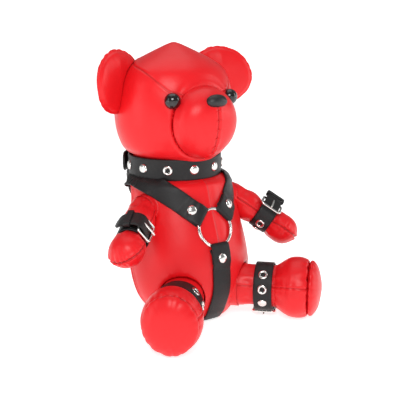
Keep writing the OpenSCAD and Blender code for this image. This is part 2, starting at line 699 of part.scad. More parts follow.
// The strap that runs down the belly, under the seat and up the back.
module belly_strap() color(BLACK) difference() {
    union() {
        intersection() {
            strap_shell();
            translate([-strap_w / 2, -BIG / 2, 0]) cube([strap_w, BIG, 62]);
        }
        intersection() {
            lean_frame() translate([-strap_w / 2, -BIG / 2, -BIG / 2]) cube([strap_w, BIG, BIG]);
            torso_solid(SEAT_GAP);
            translate([-BIG / 2, -BIG / 2, 0]) cube([BIG, BIG, strap_t]);
        }
        front_ring_frame() fold(180);
        back_ring_frame() fold(180);
    }
    front_ring_frame() ring_wire(0.15);
    back_ring_frame() ring_wire(0.15);
    difference() {
        torso_solid(SEAT_GAP / 2);
        translate([-BIG / 2, -BIG / 2, -EPS]) cube([BIG, BIG, strap_t + 2 * EPS]);
    }
    front_ring_frame() rotate([0, 0, 180]) rivet_hole();
    back_ring_frame() rotate([0, 0, 180]) rivet_hole();
}

module harness_rivet(turn) rotate([0, 0, turn]) translate([0, RIVET_AT, FOLD_OVER + 0.05]) {
    intersection() {
        translate([0, 0, RIVET_H - rivet_d]) sphere(r = rivet_d, $fn = 48);
        cylinder(d = rivet_d, h = RIVET_H);
    }
    translate([0, 0, -3]) cylinder(r = RIVET_SHANK_R, h = 3.5);
}

module harness_rivets() color(STEEL) for (turn = [-STRAP_TURN, STRAP_TURN, 180]) {
    front_ring_frame() harness_rivet(turn);
    back_ring_frame() harness_rivet(turn);
}

torso_skin();
torso_stuffing();
head_skin();
head_stuffing();
muzzle_skin();
muzzle_stuffing();
ear_left();
ear_right();
eyes();
eye_washers();
nose();
nose_washer();
arm_left_skin();
arm_left_stuffing();
arm_right_skin();
arm_right_stuffing();
leg_left_skin();
leg_left_sole();
leg_left_stuffing();
leg_right_skin();
leg_right_sole();
leg_right_stuffing();
collar_strap();
collar_studs();
collar_buckle();
collar_prong();
collar_keeper();
shoulder_strap_left();
shoulder_strap_right();
belly_strap();
front_ring();
back_ring();
harness_rivets();
wrist_left_strap();
wrist_left_studs();
wrist_left_buckle();
wrist_left_prong();
wrist_left_keeper();
wrist_right_strap();
wrist_right_studs();
wrist_right_buckle();
wrist_right_prong();
wrist_right_keeper();
ankle_left_strap();
ankle_left_studs();
ankle_left_buckle();
ankle_left_prong();
ankle_left_keeper();
ankle_right_strap();
ankle_right_studs();
ankle_right_buckle();
ankle_right_prong();
ankle_right_keeper();
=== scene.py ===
import json
import math

import bpy
import numpy as np
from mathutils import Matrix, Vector
from mathutils.bvhtree import BVHTree


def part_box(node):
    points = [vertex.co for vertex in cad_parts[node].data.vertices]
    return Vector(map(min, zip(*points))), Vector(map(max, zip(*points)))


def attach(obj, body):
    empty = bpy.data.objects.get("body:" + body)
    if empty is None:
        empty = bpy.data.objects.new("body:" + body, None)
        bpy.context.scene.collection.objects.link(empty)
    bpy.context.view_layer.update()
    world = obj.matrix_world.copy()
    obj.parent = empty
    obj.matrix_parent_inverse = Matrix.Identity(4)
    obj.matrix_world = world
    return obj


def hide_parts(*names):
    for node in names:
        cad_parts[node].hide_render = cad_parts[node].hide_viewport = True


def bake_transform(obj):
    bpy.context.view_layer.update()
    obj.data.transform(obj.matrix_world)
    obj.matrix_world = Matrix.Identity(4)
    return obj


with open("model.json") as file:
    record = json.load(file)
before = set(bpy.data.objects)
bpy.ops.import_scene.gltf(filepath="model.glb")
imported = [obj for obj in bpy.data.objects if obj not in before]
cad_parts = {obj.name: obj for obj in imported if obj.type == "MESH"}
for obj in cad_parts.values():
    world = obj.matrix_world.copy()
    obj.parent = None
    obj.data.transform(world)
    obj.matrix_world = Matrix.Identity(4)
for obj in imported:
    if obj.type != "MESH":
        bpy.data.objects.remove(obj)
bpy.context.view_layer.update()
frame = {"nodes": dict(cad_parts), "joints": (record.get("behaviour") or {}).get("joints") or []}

MM = 0.001  # shapes are worked out in millimetres, and meshes are made in metres
JOINT = {j["name"]: j for j in frame["joints"]}


# ---- measures read from the CAD frame ----

def mm(v):
    return np.array(v, float) / MM


def unit(v):
    v = np.asarray(v, float)
    return v / np.linalg.norm(v, axis=-1, keepdims=True)


def cad_box(node):
    lo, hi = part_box(node)
    return mm(lo), mm(hi)


def joint_at(name):
    return mm(JOINT[name]["pos_m"])


def joint_axis(name):
    return unit(JOINT[name]["axis"])


# ---- curves ----

def spline(points, n):
    """A smooth line through the points, as n points evenly spaced along it."""
    p = np.asarray(points, float)
    p = np.vstack([2 * p[0] - p[1], p, 2 * p[-1] - p[-2]])
    t = np.linspace(0, 1, 24, endpoint=False)[:, None]
    parts = [
        0.5 * (2 * b + (c - a) * t + (2 * a - 5 * b + 4 * c - d) * t**2 + (3 * b - a - 3 * c + d) * t**3)
        for a, b, c, d in zip(p[:-3], p[1:-2], p[2:-1], p[3:])
    ]
    return resample(np.vstack(parts + [p[-2:-1]]), n)


def resample(line, n):
    step = np.r_[0, np.cumsum(np.linalg.norm(np.diff(line, axis=0), axis=1))]
    at = np.linspace(0, step[-1], n)
    return np.stack([np.interp(at, step, line[:, k]) for k in range(line.shape[1])], -1)


def ease(t):
    t = np.clip(t, 0, 1)
    return t * t * (3 - 2 * t)


def near_line(points, line):
    """Distance of each point from the line, and how far along the line its nearest point is."""
    best = np.full(len(points), 1e9)
    along = np.zeros(len(points))
    run = 0.0
    for a, b in zip(line[:-1], line[1:]):
        ab = b - a
        length = np.linalg.norm(ab)
        if length < 1e-9:
            continue
        t = np.clip((points - a) @ ab / length**2, 0, 1)
        d = np.linalg.norm(points - a - t[:, None] * ab, axis=1)
        closer = d < best
        best[closer] = d[closer]
        along[closer] = run + t[closer] * length
        run += length
    return best, along


def lumps(points, size, seed):
    """Smooth unevenness with features of about that size, between about -1 and 1."""
    rng = np.random.default_rng(seed)
    total = np.zeros(len(points))
    for _ in range(10):
        direction = unit(rng.normal(size=3))
        total += np.sin(
            points @ direction * 2 * math.pi / (size * rng.uniform(0.7, 1.6)) + rng.uniform(0, 6.3)
        )
    return total / 4


# ---- meshes ----

class Skin:
    """A closed surface made of rings, with a point at each end."""

    def __init__(self, rings):
        n, m, _ = rings.shape
        self.shape = (n, m)
        self.co = np.vstack([rings.reshape(-1, 3), rings[0].mean(0), rings[-1].mean(0)])
        i, j = np.arange(n - 1)[:, None] * m, np.arange(m)[None, :]
        k = (j + 1) % m
        self.quads = np.stack([i + j, i + k, i + m + k, i + m + j], -1).reshape(-1, 4)
        a = np.arange(m)
        b = (a + 1) % m
        last = (n - 1) * m
        self.tris = np.vstack([
            np.stack([b, a, np.full(m, n * m)], -1),
            np.stack([last + a, last + b, np.full(m, n * m + 1)], -1),
        ])
        # painted shade: how much the colour is darkened at each point along the seam grooves
        self.seam = np.zeros(len(self.co))
        if self.volume() < 0:
            self.quads, self.tris = self.quads[:, ::-1], self.tris[:, ::-1]

    def volume(self):
        q, c = self.quads, self.co - self.co.mean(0)
        t = np.vstack([q[:, :3], q[:, [0, 2, 3]], self.tris])
        return np.einsum("ij,ij->i", c[t[:, 0]], np.cross(c[t[:, 1]], c[t[:, 2]])).sum()

    def normals(self):
        q, t, c = self.quads, self.tris, self.co
        nq = np.cross(c[q[:, 2]] - c[q[:, 0]], c[q[:, 3]] - c[q[:, 1]])
        nt = np.cross(c[t[:, 1]] - c[t[:, 0]], c[t[:, 2]] - c[t[:, 0]])
        out = np.zeros_like(c)
        for k in range(4):
            np.add.at(out, q[:, k], nq)
        for k in range(3):
            np.add.at(out, t[:, k], nt)
        return out / np.maximum(np.linalg.norm(out, axis=1, keepdims=True), 1e-9)

    def push(self, distance):
        self.co = self.co + self.normals() * distance[:, None]
        return self

    def sew(self, line, depth=0.9, width=0.7, lip=0.25, pucker=0.0, pitch=6.0, reach=5.0, seed=0, dark=1.0):
        """Sinks a seam along the line, with a slight swell on both sides and gathers that fade out. It also
        paints shade into the colour along the seam groove; dark sets how dark that painted shade is.
        """
        d, t = near_line(self.co, line)
        wave = 0.5 + 0.5 * np.sin(2 * math.pi * t / pitch + 1.4 * np.sin(t / pitch * 1.7 + seed) + seed)
        move = (
            -depth * np.exp(-((d / width) ** 2))
            + lip * np.exp(-(((d - 2.6 * width) / (1.9 * width)) ** 2))
        )
        uneven = 0.3 + 0.7 * (0.5 + 0.5 * np.sin(0.83 * t / pitch + 2.1 * seed)) ** 1.5
        move -= pucker * np.exp(-d / reach) * wave**2 * uneven
        # painted shade: a mask that darkens the colour along the seam groove, where shade falls
        self.seam = np.maximum(self.seam, dark * np.exp(-((d / (0.75 * width)) ** 2)))
        return self.push(move)

    def tree(self):
        tris = np.vstack([self.quads[:, :3], self.quads[:, [0, 2, 3]], self.tris])
        return BVHTree.FromPolygons(self.co.tolist(), tris.tolist())

    def row(self, column):
        n, m = self.shape
        return self.co[np.arange(n) * m + column % m]


def put(name, skin, body, material, replaces=(), smooth=True):
    """Makes the object, and has it ride on its CAD body in place of the nodes it stands for."""
    mesh = bpy.data.meshes.new(name)
    mesh.from_pydata((skin.co * MM).tolist(), [], skin.quads.tolist() + skin.tris.tolist())
    mesh.polygons.foreach_set("use_smooth", np.full(len(mesh.polygons), smooth))
    # the painted seam shade is stored on the mesh as a point attribute for the material
    mesh.attributes.new("seam", "FLOAT", "POINT").data.foreach_set("value", skin.seam.astype(np.float32))
    mesh.materials.append(material)
    mesh.update()
    obj = bpy.data.objects.new(name, mesh)
    bpy.context.scene.collection.objects.link(obj)
    if body:
        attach(obj, body)
    if replaces:
        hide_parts(*replaces)
    return obj


def merge(skins):
    """Several closed surfaces as one mesh."""
    out = object.__new__(Skin)
    starts = np.r_[0, np.cumsum([len(s.co) for s in skins])[:-1]]
    out.co = np.vstack([s.co for s in skins])
    out.quads = np.vstack([s.quads + k for s, k in zip(skins, starts)])
    out.tris = np.vstack([s.tris + k for s, k in zip(skins, starts)])
    out.seam = np.concatenate([s.seam for s in skins])
    out.shape = (0, 0)
    return out


def closed_rings(rings):
    """Rings that run round in a loop, so that the last joins the first and there are no ends to fill."""
    skin = Skin(np.concatenate([rings, rings[:1]]))
    skin.tris = skin.tris[:0]
    skin.co, skin.seam = skin.co[:-2], skin.seam[:-2]
    return skin


def turned(profile, origin, axes, m=48):
    """Turns a profile of (radius, height) about the third of the axes."""
    x, y, z = axes
    a = np.arange(m) * 2 * math.pi / m
    spokes = np.cos(a)[:, None] * x + np.sin(a)[:, None] * y
    p = np.asarray(profile, float)
    return Skin(origin + p[:, 0, None, None] * spokes[None] + p[:, 1, None, None] * z)


def tube(path, radius, m=14, closed=False):
    """A round wire along the path."""
    path = np.asarray(path, float)
    radius = np.broadcast_to(radius, len(path))
    if closed:
        tangent = unit(np.roll(path, -1, 0) - np.roll(path, 1, 0))
    else:
        tangent = unit(np.gradient(path, axis=0))
    side = np.cross(tangent[0], [0.3, 0.5, 0.81])
    rings, a = [], np.arange(m) * 2 * math.pi / m
    for p, t, r in zip(path, tangent, radius):
        side = unit(side - (side @ t) * t)
        up = np.cross(t, side)
        rings.append(p + r * (np.cos(a)[:, None] * side + np.sin(a)[:, None] * up))
    skin = Skin(np.array(rings))
    if closed:  # the last ring joins the first, and the two end points go unused
        n = len(path)
        j = np.arange(m)
        k = (j + 1) % m
        match = np.argmin([np.linalg.norm(rings[-1] - np.roll(rings[0], -s, 0)) for s in range(m)])
        quads = np.stack([(n - 1) * m + j, (n - 1) * m + k, (k + match) % m, (j + match) % m], -1)
        flipped = skin.quads[0, 0] > skin.quads[0, -1]
        skin.quads = np.vstack([skin.quads, quads[:, ::-1] if flipped else quads])
        skin.tris = skin.tris[:0]
        skin.co, skin.seam = skin.co[:-2], skin.seam[:-2]
    return skin


COLUMNS = np.array([-1, -0.985, -0.95, -0.88, -0.66, -0.33, 0, 0.33, 0.66, 0.88, 0.95, 0.985, 1])
ROUND = np.sqrt(1 - np.abs(COLUMNS) ** 24)


def ribbon(path, normal, half_width, thickness, across=None, lift=None, closed=False):
    """A flat strap with softened edges. lift raises each column of the strap along the normal."""
    path, normal = np.asarray(path, float), unit(normal)
    if across is None:
        tangent = np.roll(path, -1, 0) - np.roll(path, 1, 0) if closed else np.gradient(path, axis=0)
        across = unit(np.cross(unit(tangent), normal))
    across = np.broadcast_to(across, path.shape)
    half_width = np.broadcast_to(half_width, len(path))[:, None]
    lift = np.zeros((len(path), len(COLUMNS))) if lift is None else lift
    flat = (
        path[:, None]
        + (half_width * COLUMNS)[..., None] * across[:, None]
        + lift[..., None] * normal[:, None]
    )
    rise = (np.broadcast_to(thickness, len(path))[:, None] / 2 * ROUND)[..., None] * normal[:, None]
    rings = np.concatenate([(flat + rise), (flat - rise)[:, -2:0:-1]], 1)
    return closed_rings(rings) if closed else Skin(rings)


# ---- materials ----

def new_material(name):
    m = bpy.data.materials.new(name)
    m.use_nodes = True
    nodes, links = m.node_tree.nodes, m.node_tree.links
    return m, nodes, links, nodes["Principled BSDF"]


def texture(nodes, links, kind, scale, **inputs):
    coords = nodes.get("Texture Coordinate") or nodes.new("ShaderNodeTexCoord")
    t = nodes.new(kind)
    links.new(coords.outputs["Object"], t.inputs["Vector"])
    t.inputs["Scale"].default_value = scale
    for key, value in inputs.items():
        t.inputs[key].default_value = value
    return t


def ramp(nodes, links, source, low, high):
    r = nodes.new("ShaderNodeMapRange")
    links.new(source, r.inputs["Value"])
    r.inputs["To Min"].default_value = low
    r.inputs["To Max"].default_value = high
    return r.outputs["Result"]


def mix(nodes, links, factor, a, b):
    n = nodes.new("ShaderNodeMix")
    n.data_type = "RGBA"
    if isinstance(factor, float):
        n.inputs[0].default_value = factor
    else:
        links.new(factor, n.inputs[0])
    for socket, value in ((n.inputs[6], a), (n.inputs[7], b)):
        if isinstance(value, tuple):
            socket.default_value = (*value, 1)
        else:
            links.new(value, socket)
    return n.outputs[2]


def bump(nodes, links, shader, *layers):
    """Each layer is (height socket, distance in metres, strength)."""
    last = None
    for height, distance, strength in layers:
        b = nodes.new("ShaderNodeBump")
        b.inputs["Distance"].default_value = distance
        b.inputs["Strength"].default_value = strength
        links.new(height, b.inputs["Height"])
        if last:
            links.new(last, b.inputs["Normal"])
        last = b.outputs["Normal"]
    links.new(last, shader.inputs["Normal"])


def red_material():
    """Soft coated fabric: a fine even grain, faint broad shading and shade painted dark red into the seam
    grooves.
    """
    m, nodes, links, shader = new_material("red_leather")
    broad = texture(nodes, links, "ShaderNodeTexNoise", 28, Detail=2)
    grain = texture(nodes, links, "ShaderNodeTexVoronoi", 1700)
    crease = texture(nodes, links, "ShaderNodeTexNoise", 260, Detail=4, Distortion=0.6)
    # the painted seam shade, read back from the mesh
    seam = nodes.new("ShaderNodeAttribute")
    seam.attribute_name = "seam"
    colour = mix(nodes, links, ramp(nodes, links, broad.outputs["Fac"], 0.25, 0.75), (0.70, 0.007, 0.011),
            (0.80, 0.011, 0.016))
    # painted shade: the colour turns dark red where the seam shade mask is strong
    colour = mix(nodes, links, ramp(nodes, links, seam.outputs["Fac"], 0, 0.62), colour, (0.20, 0.002, 0.004))
    links.new(colour, shader.inputs["Base Color"])
    links.new(ramp(nodes, links, crease.outputs["Fac"], 0.29, 0.41), shader.inputs["Roughness"])
    shader.inputs["Specular IOR Level"].default_value = 0.30
    shader.inputs["Coat Weight"].default_value = 0.05
    shader.inputs["Coat Roughness"].default_value = 0.30
    bump(nodes, links, shader, (grain.outputs["Distance"], 0.00012, 0.25),
            (crease.outputs["Fac"], 0.0004, 0.22))
    return m


def black_material():
    """Finished leather: pebbled grain, and a paler, rougher look where it is handled."""
    m, nodes, links, shader = new_material("black_leather")
    grain = texture(nodes, links, "ShaderNodeTexVoronoi", 1250)
    wear = texture(nodes, links, "ShaderNodeTexNoise", 90, Detail=6)
    fine = texture(nodes, links, "ShaderNodeTexNoise", 900, Detail=3)
    links.new(mix(nodes, links, ramp(nodes, links, wear.outputs["Fac"], 0, 1), (0.006, 0.006, 0.007),
            (0.020, 0.019, 0.019)),
              shader.inputs["Base Color"])
    links.new(ramp(nodes, links, wear.outputs["Fac"], 0.34, 0.56), shader.inputs["Roughness"])
    shader.inputs["Specular IOR Level"].default_value = 0.30
    bump(nodes, links, shader, (grain.outputs["Distance"], 0.00022, 0.45),
            (fine.outputs["Fac"], 0.00012, 0.35))
    return m


def nickel_material():
    m, nodes, links, shader = new_material("nickel")
    shader.inputs["Metallic"].default_value = 1
    smear = texture(nodes, links, "ShaderNodeTexNoise", 300, Detail=5)
    scratch = texture(nodes, links, "ShaderNodeTexNoise", 1400, Detail=2, Distortion=2.5)
    links.new(mix(nodes, links, ramp(nodes, links, smear.outputs["Fac"], 0, 1), (0.66, 0.64, 0.61),
            (0.86, 0.85, 0.83)),
              shader.inputs["Base Color"])
    links.new(ramp(nodes, links, smear.outputs["Fac"], 0.10, 0.24), shader.inputs["Roughness"])
    bump(nodes, links, shader, (scratch.outputs["Fac"], 0.00004, 0.25))
    return m


def plain_material(name, dark, light, rough, scale, depth, coat=0.0):
    """A material that varies between two colours, with a little relief."""
    m, nodes, links, shader = new_material(name)
    spots = texture(nodes, links, "ShaderNodeTexNoise", scale, Detail=4)
    links.new(mix(nodes, links, ramp(nodes, links, spots.outputs["Fac"], 0, 1), dark, light),
            shader.inputs["Base Color"])
    links.new(ramp(nodes, links, spots.outputs["Fac"], rough * 0.8, rough * 1.2), shader.inputs["Roughness"])
    shader.inputs["Coat Weight"].default_value = coat
    shader.inputs["Coat Roughness"].default_value = 0.04
    bump(nodes, links, shader, (spots.outputs["Fac"], depth, 0.3))
    return m


RED, BLACK, NICKEL = red_material(), black_material(), nickel_material()
EYE = plain_material("eye", (0.002, 0.002, 0.002), (0.008, 0.007, 0.007), 0.12, 60, 0.00001, 0.35)
NOSE = plain_material("nose", (0.006, 0.006, 0.007), (0.016, 0.016, 0.018), 0.42, 1500, 0.00006)
WASHER = plain_material("washer", (0.70, 0.70, 0.69), (0.86, 0.86, 0.85), 0.5, 200, 0.00005)


# ---- torso ----

def lean_back(points, foot, lean):
    """From the torso's own upright frame into place."""
    c, s = math.cos(lean), math.sin(lean)
    x, y, z = np.moveaxis(points, -1, 0)
    return np.stack([x + foot[0], foot[1] + y * c + z * s, foot[2] - y * s + z * c], -1)


torso_lo, torso_hi = cad_box("torso_skin")
collar_lo, collar_hi = cad_box("collar_strap")
neck = joint_at("neck_turn")
LEAN = math.radians(11.5)
HALF_WIDE = (torso_hi[0] - torso_lo[0]) / 2
DEEP_SHARE = 0.877  # the torso's depth as a share of its width
HALF_DEEP = HALF_WIDE * DEEP_SHARE
FOOT = np.array([0, torso_lo[1] + 0.79 * HALF_DEEP, torso_lo[2]])
COLLAR_LOW = collar_lo[2]


def torso_base():
    """The stuffed body before anything presses on it: pear-shaped, leaning back, flat under the seat."""
    outline = spline([
        (-14, 0), (-13.6, 8), (-10, 18), (-4, 26), (4, 33.5), (14, 41.5), (26, 48), (44, 51), (62, 50.4),
        (82, 47.6), (100, 44.3), (118, 42.2), (138, 41.6), (139, 20), (139, 0),
    ], 210)
    a = np.arange(330) * 2 * math.pi / 330 - math.pi / 2
    r = outline[:, 1, None] / 51
    rings = np.stack([HALF_WIDE * r * np.cos(a), HALF_DEEP * r * np.sin(a), outline[:, 0, None] + 0 * a], -1)
    p = lean_back(rings, FOOT, LEAN)
    # the neck
    away = p[..., :2] - neck[:2]
    far = np.linalg.norm(away, axis=-1)
    bend = np.clip((p[..., 2] - (COLLAR_LOW - 10)) / 10, 0, 1)
    most = 37.6 + 12 * np.sqrt(1 - bend**2)
    squeeze = np.minimum(1, most / np.maximum(far, 1e-6))
    squeeze = np.where(p[..., 2] > COLLAR_LOW - 10, squeeze, 1)
    p[..., :2] = neck[:2] + away * squeeze[..., None]
    p[..., 2] = np.minimum(p[..., 2], neck[2] - 0.4)
    # the seat, with a shallow channel for the strap under it
    seat = torso_lo[2] + 0.3 + 2.1 * ease((12 - np.abs(p[..., 0])) / 2.4)
    p[..., 2] = seat + 1.5 * np.logaddexp(0, (p[..., 2] - seat) / 1.5)
    return Skin(p)


def press_socket(skin, centre, axis, radius):
    """Turns the surface in on itself to hold the round root of a limb."""
    w = skin.co - centre
    a = w @ axis
    out = w - a[:, None] * axis
    rho = np.linalg.norm(out, axis=1)
    inside = (rho < radius * 1.02) & (a > -radius * 0.6)
    t = np.clip(rho / radius, 0, 1)
    turn = np.clip(t / 0.8, 0, 1) * math.pi / 2
    wall = ease((t - 0.8) / 0.2)
    depth = np.where(t < 0.8, -radius * np.cos(turn), a * wall)
    wide = np.where(t < 0.8, radius * np.sin(turn), radius)
    spot = centre + depth[:, None] * axis + (wide / np.maximum(rho, 1e-6))[:, None] * out
    skin.co = np.where(inside[:, None], spot, skin.co)
    return skin


class Limb:
    """Where an arm or a leg is: its pivot, its direction, and the frame of the cuff round it."""

    def __init__(self, part, side, cuff):
        name = {"arm": "shoulder", "leg": "hip"}[part]
        self.part, self.side = part, side
        self.body = f"{part}_{side}"
        self.cuff = f"{cuff}_{side}"
        self.at = joint_at(f"{name}_{side}_swing")
        prong = f"{self.cuff}_prong_lift"
        axis = joint_axis(prong)
        self.dir = axis if axis @ (joint_at(prong) - self.at) > 0 else -axis
        self.band = Band(self.cuff, self.at, self.dir)
        up = np.array([0, 0, 1.0])
        self.x = unit(up - (up @ self.dir) * self.dir)
        inward = np.cross(self.dir, self.x)
        self.y = inward if inward @ [0, -1, 0] > 0 else -inward

    def place(self, z):
        return self.at + z * self.dir


HALF_BUCKLE = 7.0


class Band:
    """The frame of a buckled band. Its own x points at the buckle and its own z along the band's axis."""

    def __init__(self, name, centre, axis):
        self.name = name
        pin = joint_at(f"{name}_prong_lift")
        self.z = unit(axis)
        self.hand = -np.sign(joint_axis(f"{name}_prong_lift") @ self.z)
        self.centre = centre + ((pin - centre) @ self.z) * self.z
        q = pin - self.centre
        self.bar = math.sqrt(q @ q - HALF_BUCKLE**2)
        turn = self.hand * math.atan2(HALF_BUCKLE, self.bar)
        self.x = unit(math.cos(turn) * q + math.sin(turn) * np.cross(self.z, q))
        self.y = self.hand * np.cross(self.z, self.x)

    def at(self, x, y, z=0.0):
        x, y, z = (np.asarray(v, float)[..., None] for v in (x, y, z))
        return self.centre + x * self.x + y * self.y + z * self.z

    def around(self, degrees, r, z=0.0):
        a = np.radians(degrees)
        return self.at(r * np.cos(a), r * np.sin(a), z + 0 * a)


ARMS = [Limb("arm", side, "wrist") for side in ("left", "right")]
LEGS = [Limb("leg", side, "ankle") for side in ("left", "right")]
COLLAR = Band("collar", neck, np.array([0, 0, 1.0]))

bare = torso_base()
bare_tree = bare.tree()


def snapped(tree, points):
    return np.array([list(tree.find_nearest(Vector(p))[0]) for p in points])


ROOT_R = {"arm": 12.9, "leg": 19.7}  # radius of the socket that holds a limb's round root


def build_torso():
    skin = torso_base()
    skin.push(0.35 * lumps(skin.co, 46, 3))
    m = skin.shape[1]
    front, back = skin.row(0), skin.row(m // 2)
    side_turn = int(m * (0.25 + 12 / 360))
    skin.sew(front[40:195], depth=-0.55, width=1.5, lip=-0.12, dark=0)
    skin.sew(front[40:195] + [0.9, 0, 0], depth=0.6, width=0.55, lip=0.0)
    skin.sew(back[40:195], depth=0.9, width=0.7, lip=0.3, pucker=0.25, pitch=9)
    for column in (side_turn, m - side_turn):
        skin.sew(skin.row(column)[30:185], depth=1.3, width=0.8, lip=0.5, pucker=0.5, pitch=8, reach=5,
                seed=column)
    for limb in ARMS + LEGS:
        root = ROOT_R[limb.part]
        a = np.arange(60) * 2 * math.pi / 59
        axis = limb.dir if limb.part == "leg" else unit([math.copysign(1, limb.at[0]), -0.25, -0.1])
        x = unit(np.cross(axis, [0, 0, 1.0]))
        y = np.cross(axis, x)
        loop = limb.at + root * (np.cos(a)[:, None] * x + np.sin(a)[:, None] * y)
        loop = snapped(bare_tree, loop + 6 * axis)
        skin.sew(loop, depth=1.2, width=1.6, lip=0.3, pucker=0.7, pitch=7, reach=4, seed=len(limb.side),
                dark=0.4)
        press_socket(skin, limb.at, axis, root)
    return put("torso", skin, "torso", RED, ("torso_skin", "torso_stuffing"))


build_torso()


# ---- head ----

head_lo, head_hi = cad_box("head_skin")
muzzle_lo, muzzle_hi = cad_box("muzzle_skin")
MUZZLE = np.array([0, muzzle_hi[1], (muzzle_lo[2] + muzzle_hi[2]) / 2])
MUZZLE_R = (muzzle_hi[0] - muzzle_lo[0]) / 2
MUZZLE_H = muzzle_hi[1] - muzzle_lo[1]
HEAD_WIDE = 53 / 51 * (head_hi[0] - head_lo[0]) / 2
TOP = head_hi[2]


def head_base():
    neck_z, collar_z = head_lo[2], collar_hi[2]
    outline = spline([
        (neck_z, 0), (neck_z, 20), (neck_z + 0.2, 34), (neck_z + 2, 36.3), (collar_z - 1.5, 36.6),
        (collar_z + 1.0, 38.6), (collar_z + 3.2, 42.6), (collar_z + 8, 47), (collar_z + 15, 50.3),
        (collar_z + 24, 52.4), (TOP - 60, 53), (TOP - 49, 52.6), (TOP - 38, 50.8), (TOP - 29, 47.8),
        (TOP - 21.5, 42.8), (TOP - 15.5, 34.5), (TOP - 10.5, 25), (TOP - 5.6, 14.5), (TOP - 2.0, 6.5),
        (TOP - 0.5, 2.2), (TOP - 0.2, 0),
    ], 230)
    z, r = outline[:, 0, None], outline[:, 1, None] / 53 * HEAD_WIDE
    deep = 1 - 0.095 * ease((z - collar_z) / 14)
    a = np.arange(340) * 2 * math.pi / 340 - math.pi / 2
    return Skin(np.stack([neck[0] + r * np.cos(a), neck[1] + r * deep * np.sin(a), z + 0 * a], -1))


def head_point(tree, degrees, z):
    """The point of the head's surface at that angle round from the bear's left, and that height."""
    a = math.radians(degrees)
    inside = Vector((neck[0], neck[1], z))
    hit = tree.ray_cast(inside, Vector((math.cos(a), math.sin(a), 0)))[0]
    return np.array(list(hit))


def mirrored(points):
    return np.asarray(points) * [-1, 1, 1]


def build_head():
    skin = head_base()
    rho = np.hypot(skin.co[:, 0], skin.co[:, 2] - MUZZLE[2])
    front = skin.co[:, 1] < neck[1] - 10
    # the face comes forward to meet the muzzle's seam
    reach = np.exp(-(np.maximum(rho - MUZZLE_R, 0) / 7) ** 2) * front
    skin.co[:, 1] += reach * np.minimum(0, MUZZLE[1] - 0.3 - skin.co[:, 1])
    tree = skin.tree()
    rim = MUZZLE_R + 0.3
    seam_to_eye = [(155, TOP - 16), (180, TOP - 18.5), (205, TOP - 23.5), (220, TOP - 30.5),
            (232, TOP - 37.5)]
    line = [head_point(tree, a, z) for a, z in seam_to_eye]
    line.append(np.array([-0.64 * rim, MUZZLE[1] - 1.5, MUZZLE[2] + 0.77 * rim]))
    line = snapped(tree, spline(line, 60))
    nape = snapped(tree, spline([head_point(tree, a, z) for a, z in
            ((155, TOP - 16), (130, TOP - 14), (108, TOP - 24), (99, TOP - 48),
            (96, TOP - 75), (94, 143))], 60))
    skin.push(0.3 * lumps(skin.co, 50, 8))
    for one in (line, mirrored(line)):
        skin.sew(one, depth=0.75, width=0.6, lip=0.2, pucker=0.12, pitch=5, reach=3)
    for one in (nape, mirrored(nape)):
        skin.sew(one, depth=0.8, width=0.7, lip=0.25, pucker=0.3, pitch=8)
    # the round seam of the muzzle
    a = np.linspace(0, 2 * math.pi, 90)
    ring = np.stack([rim * np.cos(a), np.full(90, MUZZLE[1]), MUZZLE[2] + rim * np.sin(a)], -1)
    ring = snapped(tree, ring - [0, 3, 0])
    skin.sew(ring, depth=0.2, width=1.0, lip=0.45, pucker=0.2, pitch=9, reach=4, seed=2, dark=0.45)
    # the hollow behind the muzzle
    close = front & (np.abs(rho - rim) < 0.75)
    scale = np.where(close, rim / np.maximum(rho, 1e-6), 1)
    skin.co[:, 0] *= scale
    skin.co[:, 2] = MUZZLE[2] + (skin.co[:, 2] - MUZZLE[2]) * scale
    hollow = front & (rho < rim - 0.75)
    skin.co[hollow, 1] = np.maximum(skin.co[hollow, 1], MUZZLE[1] + 0.5)
    put("head", skin, "head", RED, ("head_skin", "head_stuffing"))
    return head_base()


head_bare = build_head()
head_tree = head_bare.tree()


def middle_seam(skin):
    """The line down the middle of the muzzle, from under the nose over the dome to the chin."""
    m = skin.shape[1]
    line = np.vstack([skin.row(m // 4), skin.row(3 * m // 4)[::-1]])
    nose_low = cad_box("nose")[0][2]
    return line[(line[:, 2] < nose_low + 1.5) & (line[:, 2] > MUZZLE[2] - MUZZLE_R + 4)]


def build_muzzle():
    r, h = MUZZLE_R, MUZZLE_H
    outline = spline([
        (0, 0.2), (r - 6, 0.2), (r - 1.6, 0.0), (r - 0.3, 0.9), (r + 0.15, 2.6), (r, 5), (r - 1.2, 9.5),
        (r - 4.2, 14.5), (r - 9, 18.8), (r - 15, 21.8), (r - 22, h - 0.5), (3, h), (0, h),
    ], 120)
    a = np.arange(260) * 2 * math.pi / 260
    # the dome is a little fuller above, where the nose sits, and comes to a slight point below
    rho, out = outline[:, 0, None], outline[:, 1, None]
    x, z = rho * np.cos(a), rho * np.sin(a)
    tall = 1 + 0.03 * np.exp(-(((a + math.pi / 2 + math.pi) % (2 * math.pi) - math.pi) / 0.16) ** 2)
    z = z * tall
    depth = out * (1 + 0.10 * np.clip(z / r, -1, 1))
    skin = Skin(np.stack([x, MUZZLE[1] - depth, MUZZLE[2] + z], -1))
    skin.push(0.25 * lumps(skin.co, 30, 11))
    a = np.linspace(0, 2 * math.pi, 90)
    ring = np.stack([(r + 0.2) * np.cos(a), np.full(90, MUZZLE[1] - 0.6),
            MUZZLE[2] + (r + 0.2) * np.sin(a)], -1)
    skin.sew(ring, depth=0.4, width=0.7, lip=0.55, pucker=0.25, pitch=8, reach=4, seed=5, dark=0.8)
    middle = middle_seam(skin)
    skin.sew(middle, depth=0.75, width=0.9, lip=0.35, pucker=0.12, pitch=3, dark=0.5)
    put("muzzle", skin, "head", RED, ("muzzle_skin", "muzzle_stuffing"))
    return skin


muzzle = build_muzzle()
muzzle_tree = muzzle.tree()


